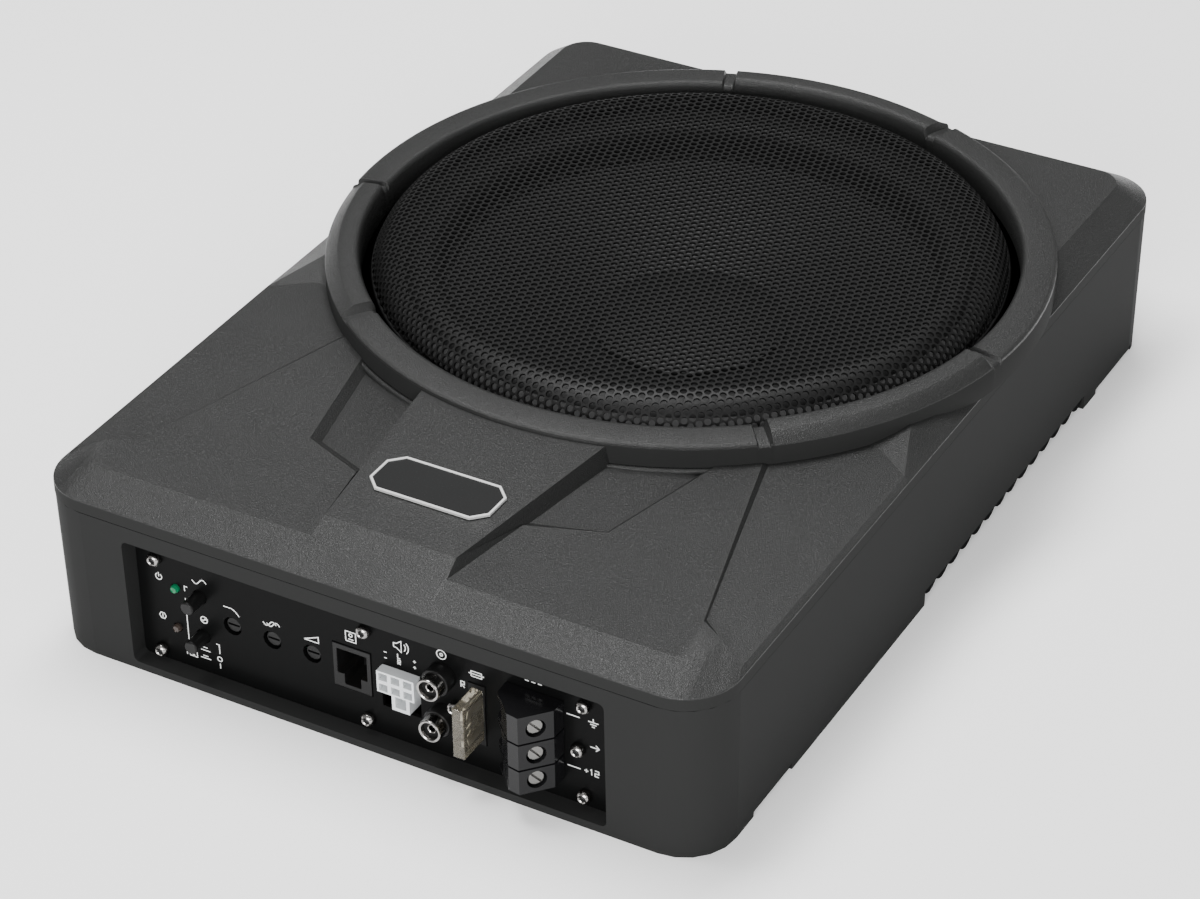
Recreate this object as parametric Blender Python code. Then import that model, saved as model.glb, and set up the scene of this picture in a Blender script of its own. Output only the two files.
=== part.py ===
"""Powered under-seat car subwoofer: a flat amplified enclosure with a slim ten-inch driver.

X runs left to right seen from the connection panel, Y to the back, Z up. The origin is the
centre of the enclosure's underside. Lengths below are millimetres and become metres in `mm`.
"""

import math

import bmesh
import bpy
from mathutils import Matrix, Vector

# ---- driving dimensions, millimetres ----
GAP = 0.3                      # clearance left between touching pieces
CASE_WIDTH, CASE_DEPTH = 247.8, 350.7
CASE_CORNER = 18.0
DRAFT = math.tan(math.radians(0.78))
WALL = 3.0
PARTING_Z = 57.9               # where the top cover meets the case walls
LIP_Z = 62.5                   # top edge of the cover's skirt
PLATEAU_Z = 69.6
SPINE_Z = 71.2
SEAT_Z = 62.4                  # annular seat of the grille ring
BASE_THICK = 5.5
VENT_FRONT_Y, VENT_BACK_Y, VENT_Z = -20.7, 114.8, 5.8
RIB_COUNT = 14

DRIVER_Y = 43.8                # driver and ring centre
RING_OUTER, RING_INNER = 128.4, 116.8
RING_LOW_Z, RING_HIGH_Z = 73.2, 75.4
RAISED_MIDS, RAISED_SPAN = (90, 210, 330), 40
GROOVE_SPAN = 2.2

PANEL_FACE_Y = -169.2
PANEL_THICK = 1.6
PANEL_LEFT, PANEL_RIGHT, PANEL_LOW, PANEL_HIGH = -90.0, 88.0, 3.0, 51.5
LEDGE_BACK_Y = -164.5          # back of the thick frame that holds the panel
TRAY_X = (-94.0, 92.0)

CORNER_POSTS = [(sx * 113.0, sy * 164.5) for sx in (-1, 1) for sy in (-1, 1)]
POST_RADIUS, POST_BORE = 6.0, 2.05

BASE_HALF_X, BASE_HALF_Y, BASE_CORNER = 120.6, 172.0, 14.5
BASE_WING_X = 123.4            # reach of the finned wings that fill the side vents
FOOT_RELIEF_Z = 2.6

GRILLE_TOP, GRILLE_FOOT, GRILLE_SHEET = 77.0, 65.8, 0.8
SHOULDER_R, SHOULDER_Z, SHOULDER_RADIUS = 98.0, 62.0, 15.0
GRILLE_EDGE = 112.8

BADGE_Y, BADGE_HALF_X, BADGE_HALF_Y, BADGE_CORNER = -126.4, 22.4, 10.0, 4.8

LEDGE_SCREWS = [(-82.0, 43.5), (-82.2, 6.9), (77.5, 43.0), (75.2, 25.1), (77.3, 7.4),
                (-2.0, 43.0), (-2.0, 8.0)]
JACK_SCREW = (30.9, 24.9)
BUTTONS = {"phase": (-65.7, 33.3), "auto_remote": (-65.5, 17.6)}
POTS = {"low_pass": (-53.4, 26.0), "phase_shift": (-38.0, 26.0), "input_level": (-22.8, 26.0)}
LAMPS = {"power_lamp": (-75.0, 33.7), "protect_lamp": (-75.4, 17.8)}
RCA_X, RCA_Z = 26.2, (19.2, 35.4)
REMOTE = (-14.5, -0.4, 17.3, 34.2)         # left, right, low, high
HIGHLEVEL = (3.7, 17.5, 15.4, 31.5)
FUSE_X, FUSE_LOW, FUSE_HIGH = 38.8, 13.4, 36.6
TERMINAL = (49.6, 70.2, 12.0, 42.0)
CELL_EDGES = (12.0, 21.3, 31.4, 42.0)
TERMINAL_FACE = (66.0, -10.05)             # middle of the sloping face, relative to the panel
TERMINAL_NORMAL = Vector((0.745, -0.667, 0))

BOARD_X, BOARD_Y, BOARD_Z = (-78.0, 76.0), (-150.0, -92.0), (9.6, 11.2)

APERTURE = 104.0                           # hole in the cover that the driver looks through
FLANGE_OUTER = 112.0
MAGNETIC_OUTER, MAGNETIC_INNER = 26.6, 24.2
COIL_OUTER, COIL_INNER = 25.9, 24.9
ROLL_R, ROLL_Z = 94.0, 64.6                # centre of the surround's half roll

SLIM = 12                      # facets round a small part
ROUND = 36                     # facets round a large part


def mm(*values):
    return tuple(v * 0.001 for v in values)


# ---- materials ----
def material(name, colour, roughness, metallic=0.0):
    found = bpy.data.materials.get(name)
    if found:
        return found
    made = bpy.data.materials.new(name)
    made.use_nodes = True
    shader = made.node_tree.nodes["Principled BSDF"]
    shader.inputs["Base Color"].default_value = (*colour, 1.0)
    shader.inputs["Roughness"].default_value = roughness
    shader.inputs["Metallic"].default_value = metallic
    made.diffuse_color = (*colour, 1.0)
    return made


POWDER_COAT = material("powder_coat", (0.055, 0.057, 0.056), 0.62)
CASE_PAINT = material("case_paint", (0.048, 0.049, 0.048), 0.50)
BLACK_ALUMINIUM = material("black_aluminium", (0.02, 0.02, 0.021), 0.45, 0.8)
BLACK_GLOSS = material("black_gloss", (0.008, 0.008, 0.009), 0.18)
BLACK_STEEL = material("black_steel", (0.012, 0.012, 0.012), 0.4, 0.6)
BRIGHT_STEEL = material("bright_steel", (0.62, 0.61, 0.59), 0.25, 1.0)
BLACK_NYLON = material("black_nylon", (0.012, 0.012, 0.012), 0.45)
WHITE_NYLON = material("white_nylon", (0.75, 0.75, 0.72), 0.4)
SMOKED_RESIN = material("smoked_resin", (0.42, 0.36, 0.25), 0.15)
GREEN_RESIN = material("green_resin", (0.03, 0.35, 0.14), 0.15)
CLEAR_RESIN = material("clear_resin", (0.7, 0.7, 0.7), 0.15)
BOARD_GREEN = material("board_green", (0.02, 0.12, 0.05), 0.4)
COPPER = material("copper", (0.72, 0.33, 0.16), 0.35, 1.0)
FERRITE = material("ferrite", (0.03, 0.03, 0.032), 0.6)
ZINC = material("zinc", (0.5, 0.5, 0.48), 0.35, 1.0)
PULP = material("pulp", (0.02, 0.02, 0.022), 0.7)
RUBBER = material("rubber", (0.012, 0.012, 0.012), 0.75)
SPIDER_CLOTH = material("spider_cloth", (0.45, 0.33, 0.12), 0.85)


# ---- building blocks ----
def node(name, mesh, coat, smooth=True, at=(0, 0, 0)):
    """One sub-part: its mesh is written in millimetres about `at`, its own origin."""
    mesh.transform(Matrix.Scale(0.001, 4))
    mesh.materials.append(coat)
    if smooth:
        mesh.shade_smooth()
        mesh.set_sharp_from_angle(angle=math.radians(32))
    part = bpy.data.objects.new(name, mesh)
    part.location = mm(*at)
    bpy.context.scene.collection.objects.link(part)
    return part


def mesh_of(points, faces):
    mesh = bpy.data.meshes.new("shape")
    work = bmesh.new()
    corners = [work.verts.new(p) for p in points]
    for face in faces:
        work.faces.new([corners[i] for i in face])
    face_outwards(work)
    work.to_mesh(mesh)
    work.free()
    return mesh


def face_outwards(work):
    bmesh.ops.recalc_face_normals(work, faces=work.faces)
    if work.calc_volume(signed=True) < 0:
        bmesh.ops.reverse_faces(work, faces=work.faces)


def loft(rings, closed=False):
    """A solid through rings of equal length: capped at both ends, or joined end to end."""
    count = len(rings[0])
    points = [p for ring in rings for p in ring]
    faces = []
    spans = len(rings) if closed else len(rings) - 1
    for i in range(spans):
        j = (i + 1) % len(rings)
        for k in range(count):
            m = (k + 1) % count
            faces.append((i * count + k, i * count + m, j * count + m, j * count + k))
    if not closed:
        faces.append(tuple(reversed(range(count))))
        faces.append(tuple(range((len(rings) - 1) * count, len(rings) * count)))
    return mesh_of(points, faces)


def prism(outline, low, high):
    """An XY outline raised from `low` to `high`."""
    return loft([[(x, y, z) for x, y in outline] for z in (low, high)])


def box(x, y, z):
    return prism([(x[0], y[0]), (x[1], y[0]), (x[1], y[1]), (x[0], y[1])], *z)


def circle(radius, count, centre=(0, 0), turn=0.0):
    steps = [turn + 2 * math.pi * k / count for k in range(count)]
    return [(centre[0] + radius * math.cos(a), centre[1] + radius * math.sin(a)) for a in steps]


def disc(radius, low, high, centre=(0, 0), count=SLIM, turn=0.0):
    return prism(circle(radius, count, centre, turn), low, high)


def rounded(half_x, half_y, radius, steps=5, centre=(0, 0)):
    """A rounded rectangle's outline, counter-clockwise."""
    outline = []
    for quarter, (sx, sy) in enumerate(((1, 1), (-1, 1), (-1, -1), (1, -1))):
        for k in range(steps + 1):
            a = math.radians(90 * (quarter + k / steps))
            x = centre[0] + sx * (half_x - radius) + radius * math.cos(a)
            y = centre[1] + sy * (half_y - radius) + radius * math.sin(a)
            outline.append((x, y))
    return outline


def turned(profile, count=ROUND):
    """A closed (radius, z) profile turned about Z; a profile on the axis is closed there."""
    if min(r for r, _ in profile) > 0:
        rings = []
        for k in range(count):
            a = 2 * math.pi * k / count
            rings.append([(r * math.cos(a), r * math.sin(a), z) for r, z in profile])
        return loft(rings, closed=True)
    inner = [(r, z) for r, z in profile if r > 0]
    ends = [z for r, z in profile if r == 0]
    points = [(r * math.cos(2 * math.pi * k / count), r * math.sin(2 * math.pi * k / count), z)
              for r, z in inner for k in range(count)]
    points += [(0, 0, ends[0]), (0, 0, ends[-1])]
    last = (len(inner) - 1) * count
    faces = []
    for k in range(count):
        m = (k + 1) % count
        faces.append((len(points) - 2, k, m))
        faces.append((len(points) - 1, last + m, last + k))
        for i in range(len(inner) - 1):
            low, high = i * count, (i + 1) * count
            faces.append((low + k, high + k, high + m, low + m))
    return mesh_of(points, faces)


def facing_panel(mesh):
    """Turns a shape made along +Z so that it points out of the panel, along -Y."""
    mesh.transform(Matrix.Rotation(math.radians(90), 4, "X"))
    return mesh


def moved(mesh, x=0.0, y=0.0, z=0.0):
    mesh.transform(Matrix.Translation((x, y, z)))
    return mesh


def boolean(part, name, meshes, operation):
    """Cuts `meshes` out of a part, or joins them to it, with one modifier."""
    work = bmesh.new()
    for mesh in meshes:
        work.from_mesh(mesh)
    joined = bpy.data.meshes.new(name)
    work.to_mesh(joined)
    work.free()
    joined.transform(Matrix.Scale(0.001, 4))
    tool = bpy.data.objects.new(name, joined)
    tool.location = part.location
    tool.hide_render = True
    tool.display_type = "WIRE"
    bpy.context.scene.collection.objects.link(tool)
    change = part.modifiers.new(name, "BOOLEAN")
    change.operation = operation
    change.solver = "EXACT"
    change.object = tool


def cut(part, *meshes):
    boolean(part, part.name + "_cut%d" % len(part.modifiers), meshes, "DIFFERENCE")


def join(part, *meshes):
    boolean(part, part.name + "_join%d" % len(part.modifiers), meshes, "UNION")


def case_outline(z, inset=0.0):
    """The drafted enclosure's outline at height z, moved inwards by `inset`."""
    grow = z * DRAFT - inset
    return rounded(CASE_WIDTH / 2 + grow, CASE_DEPTH / 2 + grow, CASE_CORNER + grow)


# ---- enclosure: walls, finned base and top cover ----
def case_body():
    top = PARTING_Z - GAP
    walls = loft([[(x, y, z) for x, y in case_outline(z)] for z in (0, top)])
    part = node("case_body", walls, CASE_PAINT, smooth=False)
    cut(part, loft([[(x, y, z) for x, y in case_outline(z, WALL)] for z in (-1, top + 1)]))
    tray = box(TRAY_X, (-174.6, LEDGE_BACK_Y), (0, 55.5))
    posts = [disc(POST_RADIUS, BASE_THICK + GAP, top, p) for p in CORNER_POSTS]
    join(part, tray)
    join(part, *posts)
    pocket = rounded((PANEL_RIGHT - PANEL_LEFT) / 2, (PANEL_HIGH - PANEL_LOW) / 2, 2.0, 3,
                     ((PANEL_RIGHT + PANEL_LEFT) / 2, (PANEL_HIGH + PANEL_LOW) / 2))
    pocket = moved(facing_panel(prism(pocket, 0, 12)), y=PANEL_FACE_Y + PANEL_THICK + GAP)
    window = box((-78.4, 71.5), (-168, LEDGE_BACK_Y + 1), (11, 40))
    side_vents = [box((x0, x1), (VENT_FRONT_Y, VENT_BACK_Y), (-1, VENT_Z))
                  for x0, x1 in ((-130, -116), (116, 130))]
    feet = [box((x0, x1), y, (-1, FOOT_RELIEF_Z))
            for x0, x1 in ((-130, -122.9), (122.9, 130)) for y in ((-145.7, -119.3), (126.2, 160))]
    bores = [disc(POST_BORE, 0, top + 1, p) for p in CORNER_POSTS]
    holes = [panel_hole(1.55, x, z, 6) for x, z in LEDGE_SCREWS]
    cut(part, pocket)
    cut(part, window, *side_vents)
    cut(part, *feet, *bores)
    cut(part, *holes)


def panel_hole(radius, x, z, reach, count=SLIM):
    """A round cutter through the panel plane at (x, z), `reach` to each side."""
    return moved(facing_panel(disc(radius, -reach, reach, count=count)), x, PANEL_FACE_Y, z)


def base_outline():
    """The plate's outline: inside the walls all round, wider where it fills the side vents."""
    front, back = VENT_FRONT_Y + GAP, VENT_BACK_Y - GAP
    right_wing = [(BASE_HALF_X, front), (BASE_WING_X, front), (BASE_WING_X, back),
                  (BASE_HALF_X, back)]
    left_wing = [(-x, y) for x, y in reversed(right_wing)]
    core = rounded(BASE_HALF_X, BASE_HALF_Y, BASE_CORNER)
    half = len(core) // 2
    return core[:half] + left_wing + core[half:] + right_wing


def heatsink_base():
    part = node("heatsink_base", prism(base_outline(), 0, BASE_THICK), BLACK_ALUMINIUM)
    pitch = (VENT_BACK_Y - VENT_FRONT_Y - 2 * GAP) / RIB_COUNT
    start = VENT_FRONT_Y + GAP
    scallop = [(start - 0.6, -1.0)]
    for rib in range(RIB_COUNT):
        for k in range(4):
            rise = 2.2 * (1 - math.sin(math.pi * k / 4))
            scallop.append((start + pitch * (rib + k / 4), 2.4 + rise))
    scallop += [(start + pitch * RIB_COUNT, 4.6), (start + pitch * RIB_COUNT + 0.6, -1.0)]
    for x0, x1 in ((86.0, 130.0), (-130.0, -86.0)):
        cut(part, loft([[(x, y, z) for y, z in scallop] for x in (x0, x1)]))
    cut(part, box((TRAY_X[0] - GAP, TRAY_X[1] + GAP), (-180, LEDGE_BACK_Y + GAP), (-1, 10)))
    holes = [disc(POST_BORE, -1, BASE_THICK + 1, p) for p in CORNER_POSTS]
    seats = [disc(4.0, -1, FOOT_RELIEF_Z, p) for p in CORNER_POSTS]
    cut(part, *holes)
    cut(part, *seats)


RIGHT_POINTS = {
    "lip_mid": (0, -176.2, LIP_Z), "lip_spine": (24.8, -176.2, LIP_Z),
    "lip_a": (106.0, -176.2, LIP_Z), "lip_b": (115.4, -173.7, LIP_Z),
    "lip_c": (122.3, -166.8, LIP_Z), "lip_d": (124.8, -157.4, LIP_Z),
    "lip_e": (124.8, -40.0, LIP_Z), "lip_f": (124.8, 157.4, LIP_Z),
    "lip_g": (122.3, 166.8, LIP_Z), "lip_h": (115.4, 173.7, LIP_Z),
    "lip_i": (106.0, 176.2, LIP_Z), "lip_back": (0, 176.2, LIP_Z),
    "spine_front": (0, -155.2, SPINE_Z), "spine_edge": (24.3, -155.2, SPINE_Z),
    "spine_ring": (37.6, -60.0, SPINE_Z), "spine_mid": (0, -60.0, SPINE_Z),
    "flank_a": (24.8, -162.2, 67.4), "flank_b": (104.5, -162.6, 67.2),
    "flank_c": (113.3, -157.6, 67.2), "flank_d": (113.6, -148.3, 67.2),
    "flank_e": (104.2, -142.4, 66.9), "flank_f": (78.0, -48.0, 65.4),
    "pocket_out": (56.0, -115.4, 66.5), "pocket_in": (31.1, -126.3, 67.8),
    "pocket_rim": (70.5, -54.0, 65.3), "spine_foot": (38.8, -60.0, 63.4),
    "floor_in": (31.6, -123.0, 66.6), "floor_out": (53.6, -112.2, 63.9),
    "floor_rim": (67.4, -54.0, 62.8),
    "facet_in": (103.6, -139.5, 65.2), "facet_ring": (80.4, -50.0, 64.6),
    "facet_front": (123.4, -153.6, 63.9), "facet_side": (123.4, -40.0, 64.3),
    "facet_tip": (109.5, -30.0, 64.5), "shoulder": (113.6, -15.0, 67.4),
    "plateau_side": (114.5, 0.0, PLATEAU_Z), "plateau_a": (114.5, 154.6, PLATEAU_Z),
    "plateau_b": (111.0, 161.0, PLATEAU_Z), "plateau_c": (104.6, 164.2, PLATEAU_Z),
    "plateau_back": (0, 164.2, PLATEAU_Z),
}
RIGHT_FACES = (
    "lip_mid lip_spine flank_a spine_edge spine_front",
    "lip_spine lip_a flank_b flank_a",
    "lip_a lip_b flank_b", "lip_b flank_c flank_b", "lip_b lip_c flank_c",
    "lip_c lip_d facet_front", "lip_c facet_front flank_d flank_c",
    "lip_d lip_e facet_side facet_front", "lip_e shoulder facet_side",
    "lip_e lip_f plateau_a plateau_side shoulder",
    "lip_f lip_g plateau_b plateau_a", "lip_g lip_h plateau_c plateau_b",
    "lip_h lip_i plateau_c", "lip_i lip_back plateau_back plateau_c",
    "spine_front spine_edge spine_ring spine_mid",
    "spine_edge flank_a pocket_in", "spine_edge pocket_in floor_in",
    "spine_edge floor_in spine_foot spine_ring",
    "flank_a flank_b flank_e pocket_out", "flank_a pocket_out pocket_in",
    "flank_b flank_c flank_d flank_e",
    "flank_e flank_f pocket_rim pocket_out",
    "pocket_in pocket_out floor_out floor_in",
    "pocket_out pocket_rim floor_rim floor_out",
    "floor_in floor_out floor_rim spine_foot",
    "flank_e flank_d facet_front facet_in", "flank_f flank_e facet_in facet_ring",
    "facet_in facet_front facet_side", "facet_in facet_side facet_tip facet_ring",
    "facet_tip facet_side shoulder",
    "spine_ring spine_foot floor_rim pocket_rim flank_f facet_ring facet_tip shoulder "
    "plateau_side plateau_mid spine_mid",
    "plateau_side plateau_a plateau_b plateau_c plateau_back plateau_mid",
)


def top_cover():
    """The faceted top: right half as named corners, mirrored, with a skirt down to the case."""
    corners = dict(RIGHT_POINTS, plateau_mid=(0, 0.0, PLATEAU_Z))
    names = list(corners)
    work = bmesh.new()
    for side in (1, -1):
        made = {n: work.verts.new((side * x, y, z)) for n, (x, y, z) in corners.items()}
        for text in RIGHT_FACES:
            work.faces.new([made[n] for n in text.split()])
        lip = [n for n in names if n.startswith("lip_")]
        feet = [work.verts.new((made[n].co.x, made[n].co.y, PARTING_Z)) for n in lip]
        for a, b, c, d in zip(lip, lip[1:], feet, feet[1:]):
            work.faces.new([made[a], made[b], d, c])
        work.faces.new(feet)
    bmesh.ops.remove_doubles(work, verts=work.verts, dist=0.01)
    bmesh.ops.triangulate(work, faces=work.faces)
    face_outwards(work)
    mesh = bpy.data.meshes.new("top_cover")
    work.to_mesh(mesh)
    work.free()
    part = node("top_cover", mesh, POWDER_COAT, smooth=False)
    centre = (0, DRIVER_Y)
    cut(part, disc(RING_OUTER + 0.7, SEAT_Z, 90, centre, 60),
        prism(rounded(121.4, 172.8, 15.4), PARTING_Z - 1, SEAT_Z - 2.4))
    join(part, *[disc(POST_RADIUS, PARTING_Z, SEAT_Z, p) for p in CORNER_POSTS])
    cut(part, disc(APERTURE, PARTING_Z - 2, 90, centre, 40))
    cut(part, prism([(-98, -150), (98, -150), (98, -84), (-98, -84)], SEAT_Z - 3, SEAT_Z),
        *[disc(POST_BORE, PARTING_Z - 2, SEAT_Z - 0.4, p) for p in CORNER_POSTS])


def grille_ring():
    """The clamping ring round the grille: three raised arcs, a groove beside each end."""
    low = [(RING_INNER - 1.0, SEAT_Z + GAP), (RING_OUTER, SEAT_Z + GAP), (RING_OUTER, 71.8),
           (RING_OUTER - 0.9, RING_LOW_Z), (118.4, RING_LOW_Z + 0.4), (RING_INNER, RING_LOW_Z),
           (RING_INNER - 1.0, 71.0)]
    high = low[:3] + [(RING_OUTER - 3.2, RING_HIGH_Z - 0.7), (118.4, RING_HIGH_Z),
                      (RING_INNER, RING_LOW_Z + 0.6), low[6]]
    groove = low[:3] + [(RING_OUTER - 0.9, RING_LOW_Z - 1.2), (118.4, RING_LOW_Z - 0.9),
                        (RING_INNER, RING_LOW_Z - 1.2), low[6]]
    stations = []
    for middle in RAISED_MIDS:
        start, end = middle - RAISED_SPAN / 2, middle + RAISED_SPAN / 2
        stations += [(start + RAISED_SPAN * k / 5, high) for k in range(6)]
        stations += [(end + 0.15, groove), (end + GROOVE_SPAN, groove)]
        rest = 120 - RAISED_SPAN - 2 * GROOVE_SPAN - 0.3
        first = end + GROOVE_SPAN + 0.15
        stations += [(first + rest * k / 9, low) for k in range(10)]
        stations += [(end + 120 - RAISED_SPAN - GROOVE_SPAN, groove), (end + 79.85, groove)]
    rings = []
    for degrees, profile in stations:
        a = math.radians(degrees)
        rings.append([(r * math.cos(a), r * math.sin(a), z) for r, z in profile])
    node("grille_ring", loft(rings, closed=True), POWDER_COAT, at=(0, DRIVER_Y, 0))


def grille():
    """A pressed steel disc with a rounded shoulder and a turned-down rim."""
    turns = [math.radians(d) for d in (0, 22, 44, 62, 70)]
    foot_radius = GRILLE_EDGE - GRILLE_SHEET
    top, under = [(0, GRILLE_TOP)], [(0, GRILLE_TOP - GRILLE_SHEET)]
    for layer, radius in ((top, SHOULDER_RADIUS), (under, SHOULDER_RADIUS - GRILLE_SHEET)):
        layer += [(SHOULDER_R + radius * math.sin(a), SHOULDER_Z + radius * math.cos(a))
                  for a in turns]
    profile = top + [(GRILLE_EDGE, GRILLE_FOOT), (foot_radius, GRILLE_FOOT)] + under[::-1]
    node("grille", turned(profile, 48), BLACK_STEEL, at=(0, DRIVER_Y, 0))


def badge_plate():
    """An eight-sided plate on the spine."""
    outline = []
    for sx, sy in ((1, -1), (1, 1), (-1, 1), (-1, -1)):
        pair = [(sx * (BADGE_HALF_X - BADGE_CORNER), sy * BADGE_HALF_Y),
                (sx * BADGE_HALF_X, sy * (BADGE_HALF_Y - BADGE_CORNER))]
        outline += pair if sx * sy < 0 else pair[::-1]
    plate = prism(outline, 0, 0.9)
    node("badge_plate", plate, BRIGHT_STEEL, smooth=False, at=(0, BADGE_Y, SPINE_Z + GAP))


# ---- connection panel and what it carries ----
def control_panel():
    half_x = (PANEL_RIGHT - PANEL_LEFT) / 2 - GAP
    half_z = (PANEL_HIGH - PANEL_LOW) / 2 - GAP
    centre = ((PANEL_RIGHT + PANEL_LEFT) / 2, (PANEL_HIGH + PANEL_LOW) / 2)
    plate = facing_panel(prism(rounded(half_x, half_z, 1.8, 3, centre), -PANEL_THICK, 0))
    part = node("control_panel", moved(plate, y=PANEL_FACE_Y), BLACK_GLOSS, smooth=False)
    reach = 4
    cut(part, *[panel_hole(1.6, x, z, reach) for x, z in LEDGE_SCREWS + [JACK_SCREW]],
        *[panel_hole(1.8, x, z, reach) for x, z in LAMPS.values()],
        *[panel_hole(2.8, x, z, reach) for x, z in BUTTONS.values()],
        *[panel_hole(3.5, x, z, reach) for x, z in POTS.values()],
        *[panel_hole(4.7, RCA_X, z, reach, 18) for z in RCA_Z])
    slots = [(x0 - GAP, x1 + GAP, z0 - GAP, z1 + GAP) for x0, x1, z0, z1 in
             (REMOTE, HIGHLEVEL, (FUSE_X - 2.9, FUSE_X + 2.9, FUSE_LOW, FUSE_HIGH),
              (52.0, 68.0, 16.0, 38.0))]
    y = (PANEL_FACE_Y - reach, PANEL_FACE_Y + reach)
    cut(part, *[box((x0, x1), y, (z0, z1)) for x0, x1, z0, z1 in slots])


def screw(name, x, z, at_y, head=2.5, shank=1.25, tall=2.4, reach=4.0):
    """A pan-head screw pointing into the panel, with a cross recess."""
    body = turned([(0, -reach), (shank, -reach), (shank, 0), (head, 0), (head, tall * 0.7),
                   (head * 0.75, tall), (0, tall)], SLIM)
    part = node(name, facing_panel(body), BRIGHT_STEEL, at=(x, at_y, z))
    across = facing_panel(box((-1.4, 1.4), (-0.35, 0.35), (tall - 1.0, tall + 1)))
    down = facing_panel(box((-0.35, 0.35), (-1.4, 1.4), (tall - 1.0, tall + 1)))
    cut(part, across)
    cut(part, down)


def panel_screws():
    for count, (x, z) in enumerate(LEDGE_SCREWS + [JACK_SCREW]):
        screw("panel_screw_%d" % (count + 1), x, z, PANEL_FACE_Y - GAP)


def lamps():
    for name, (x, z) in LAMPS.items():
        coat = GREEN_RESIN if name == "power_lamp" else CLEAR_RESIN
        body = turned([(0, -9.0), (1.9, -9.0), (1.9, -2.2), (1.5, -2.2), (1.5, 0.6), (1.1, 1.5),
                       (0, 1.9)], SLIM)
        node(name, facing_panel(body), coat, at=(x, PANEL_FACE_Y, z))


def push_switches():
    """Latching push switches: a plunger that travels 2.5 mm into a boxed body."""
    for name, (x, z) in BUTTONS.items():
        plunger = turned([(0, -12.0), (1.6, -12.0), (1.6, -4.6), (2.5, -4.6), (2.5, 7.0),
                          (2.1, 7.6), (0, 7.6)], SLIM)
        node(name + "_button", facing_panel(plunger), BLACK_NYLON, at=(x, PANEL_FACE_Y, z))
        body = facing_panel(box((-4.0, 4.0), (-4.0, 4.0), (-18.0, -8.2)))
        switch = node(name + "_switch", body, BLACK_NYLON, smooth=False, at=(x, PANEL_FACE_Y, z))
        cut(switch, facing_panel(disc(1.95, -15.5, 0)))


def potentiometers():
    """Slotted trimmers turned with a screwdriver through holes in the panel."""
    for name, (x, z) in POTS.items():
        shaft = turned([(0, -14.0), (1.5, -14.0), (1.5, -6.2), (2.9, -6.2), (2.9, -1.2),
                        (2.6, -0.9), (0, -0.9)], SLIM)
        part = node(name + "_shaft", facing_panel(shaft), BLACK_NYLON, at=(x, PANEL_FACE_Y, z))
        cut(part, facing_panel(box((-2.2, 2.2), (-0.4, 0.4), (-2.2, 0))))
        body = facing_panel(box((-4.6, 4.6), (-4.6, 4.6), (-16.0, -6.6)))
        pot = node(name + "_pot", body, BLACK_NYLON, smooth=False, at=(x, PANEL_FACE_Y, z))
        cut(pot, facing_panel(disc(1.85, -14.5, 0)))


def remote_jack():
    x0, x1, z0, z1 = REMOTE
    shell = box((x0, x1), (PANEL_FACE_Y - 0.4, PANEL_FACE_Y + 16.0), (z0, z1))
    part = node("remote_jack", shell, BLACK_NYLON, smooth=False)
    y = (PANEL_FACE_Y - 2, PANEL_FACE_Y + 11.0)
    cut(part, box((x0 + 1.5, x1 - 1.5), y, (z0 + 5.4, z1 - 2.0)))
    cut(part, box((x0 + 4.0, x1 - 4.0), y, (z0 + 1.5, z0 + 6.0)))


def highlevel_socket():
    x0, x1, z0, z1 = HIGHLEVEL
    shell = box((x0, x1), (PANEL_FACE_Y - 3.4, PANEL_FACE_Y + 12.0), (23.3, z1))
    part = node("highlevel_socket", shell, WHITE_NYLON, smooth=False)
    join(part, box((x0 + 3.6, x1 - 3.6), (PANEL_FACE_Y - 0.8, PANEL_FACE_Y + 12.0), (z0, 24.0)))
    cells = []
    for column in range(3):
        for row in range(2):
            x = x0 + 2.35 + 4.55 * column
            z = 25.3 + 4.1 * row
            cells.append(box((x - 1.6, x + 1.6), (PANEL_FACE_Y - 5, PANEL_FACE_Y + 8),
                             (z - 1.4, z + 1.4)))
    cut(part, *cells)
    cut(part, box((x0 + 4.9, x1 - 4.9), (PANEL_FACE_Y - 5, PANEL_FACE_Y + 8), (z0 + 1.2, 22.4)))


def rca_jacks():
    """A black two-way block behind the panel with a nickel barrel for each channel."""
    block = box((20.6, 34.2), (PANEL_FACE_Y + PANEL_THICK + GAP, PANEL_FACE_Y + 14.0),
                (14.4, 39.6))
    part = node("rca_block", block, BLACK_NYLON, smooth=False)
    cut(part, *[panel_hole(3.4, RCA_X, z, 12, 16) for z in RCA_Z])
    cut(part, panel_hole(1.55, *JACK_SCREW, 7))
    for name, z in zip(("right_input", "left_input"), RCA_Z):
        barrel = turned([(1.5, -11.0), (3.0, -11.0), (3.0, -0.2), (4.4, -0.2), (4.4, 1.6),
                         (4.15, 1.6), (4.15, 8.8), (3.8, 9.1), (2.9, 9.1), (2.9, 1.2),
                         (1.5, 1.2)], 18)
        node(name + "_barrel", facing_panel(barrel), BRIGHT_STEEL, at=(RCA_X, PANEL_FACE_Y, z))


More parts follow.
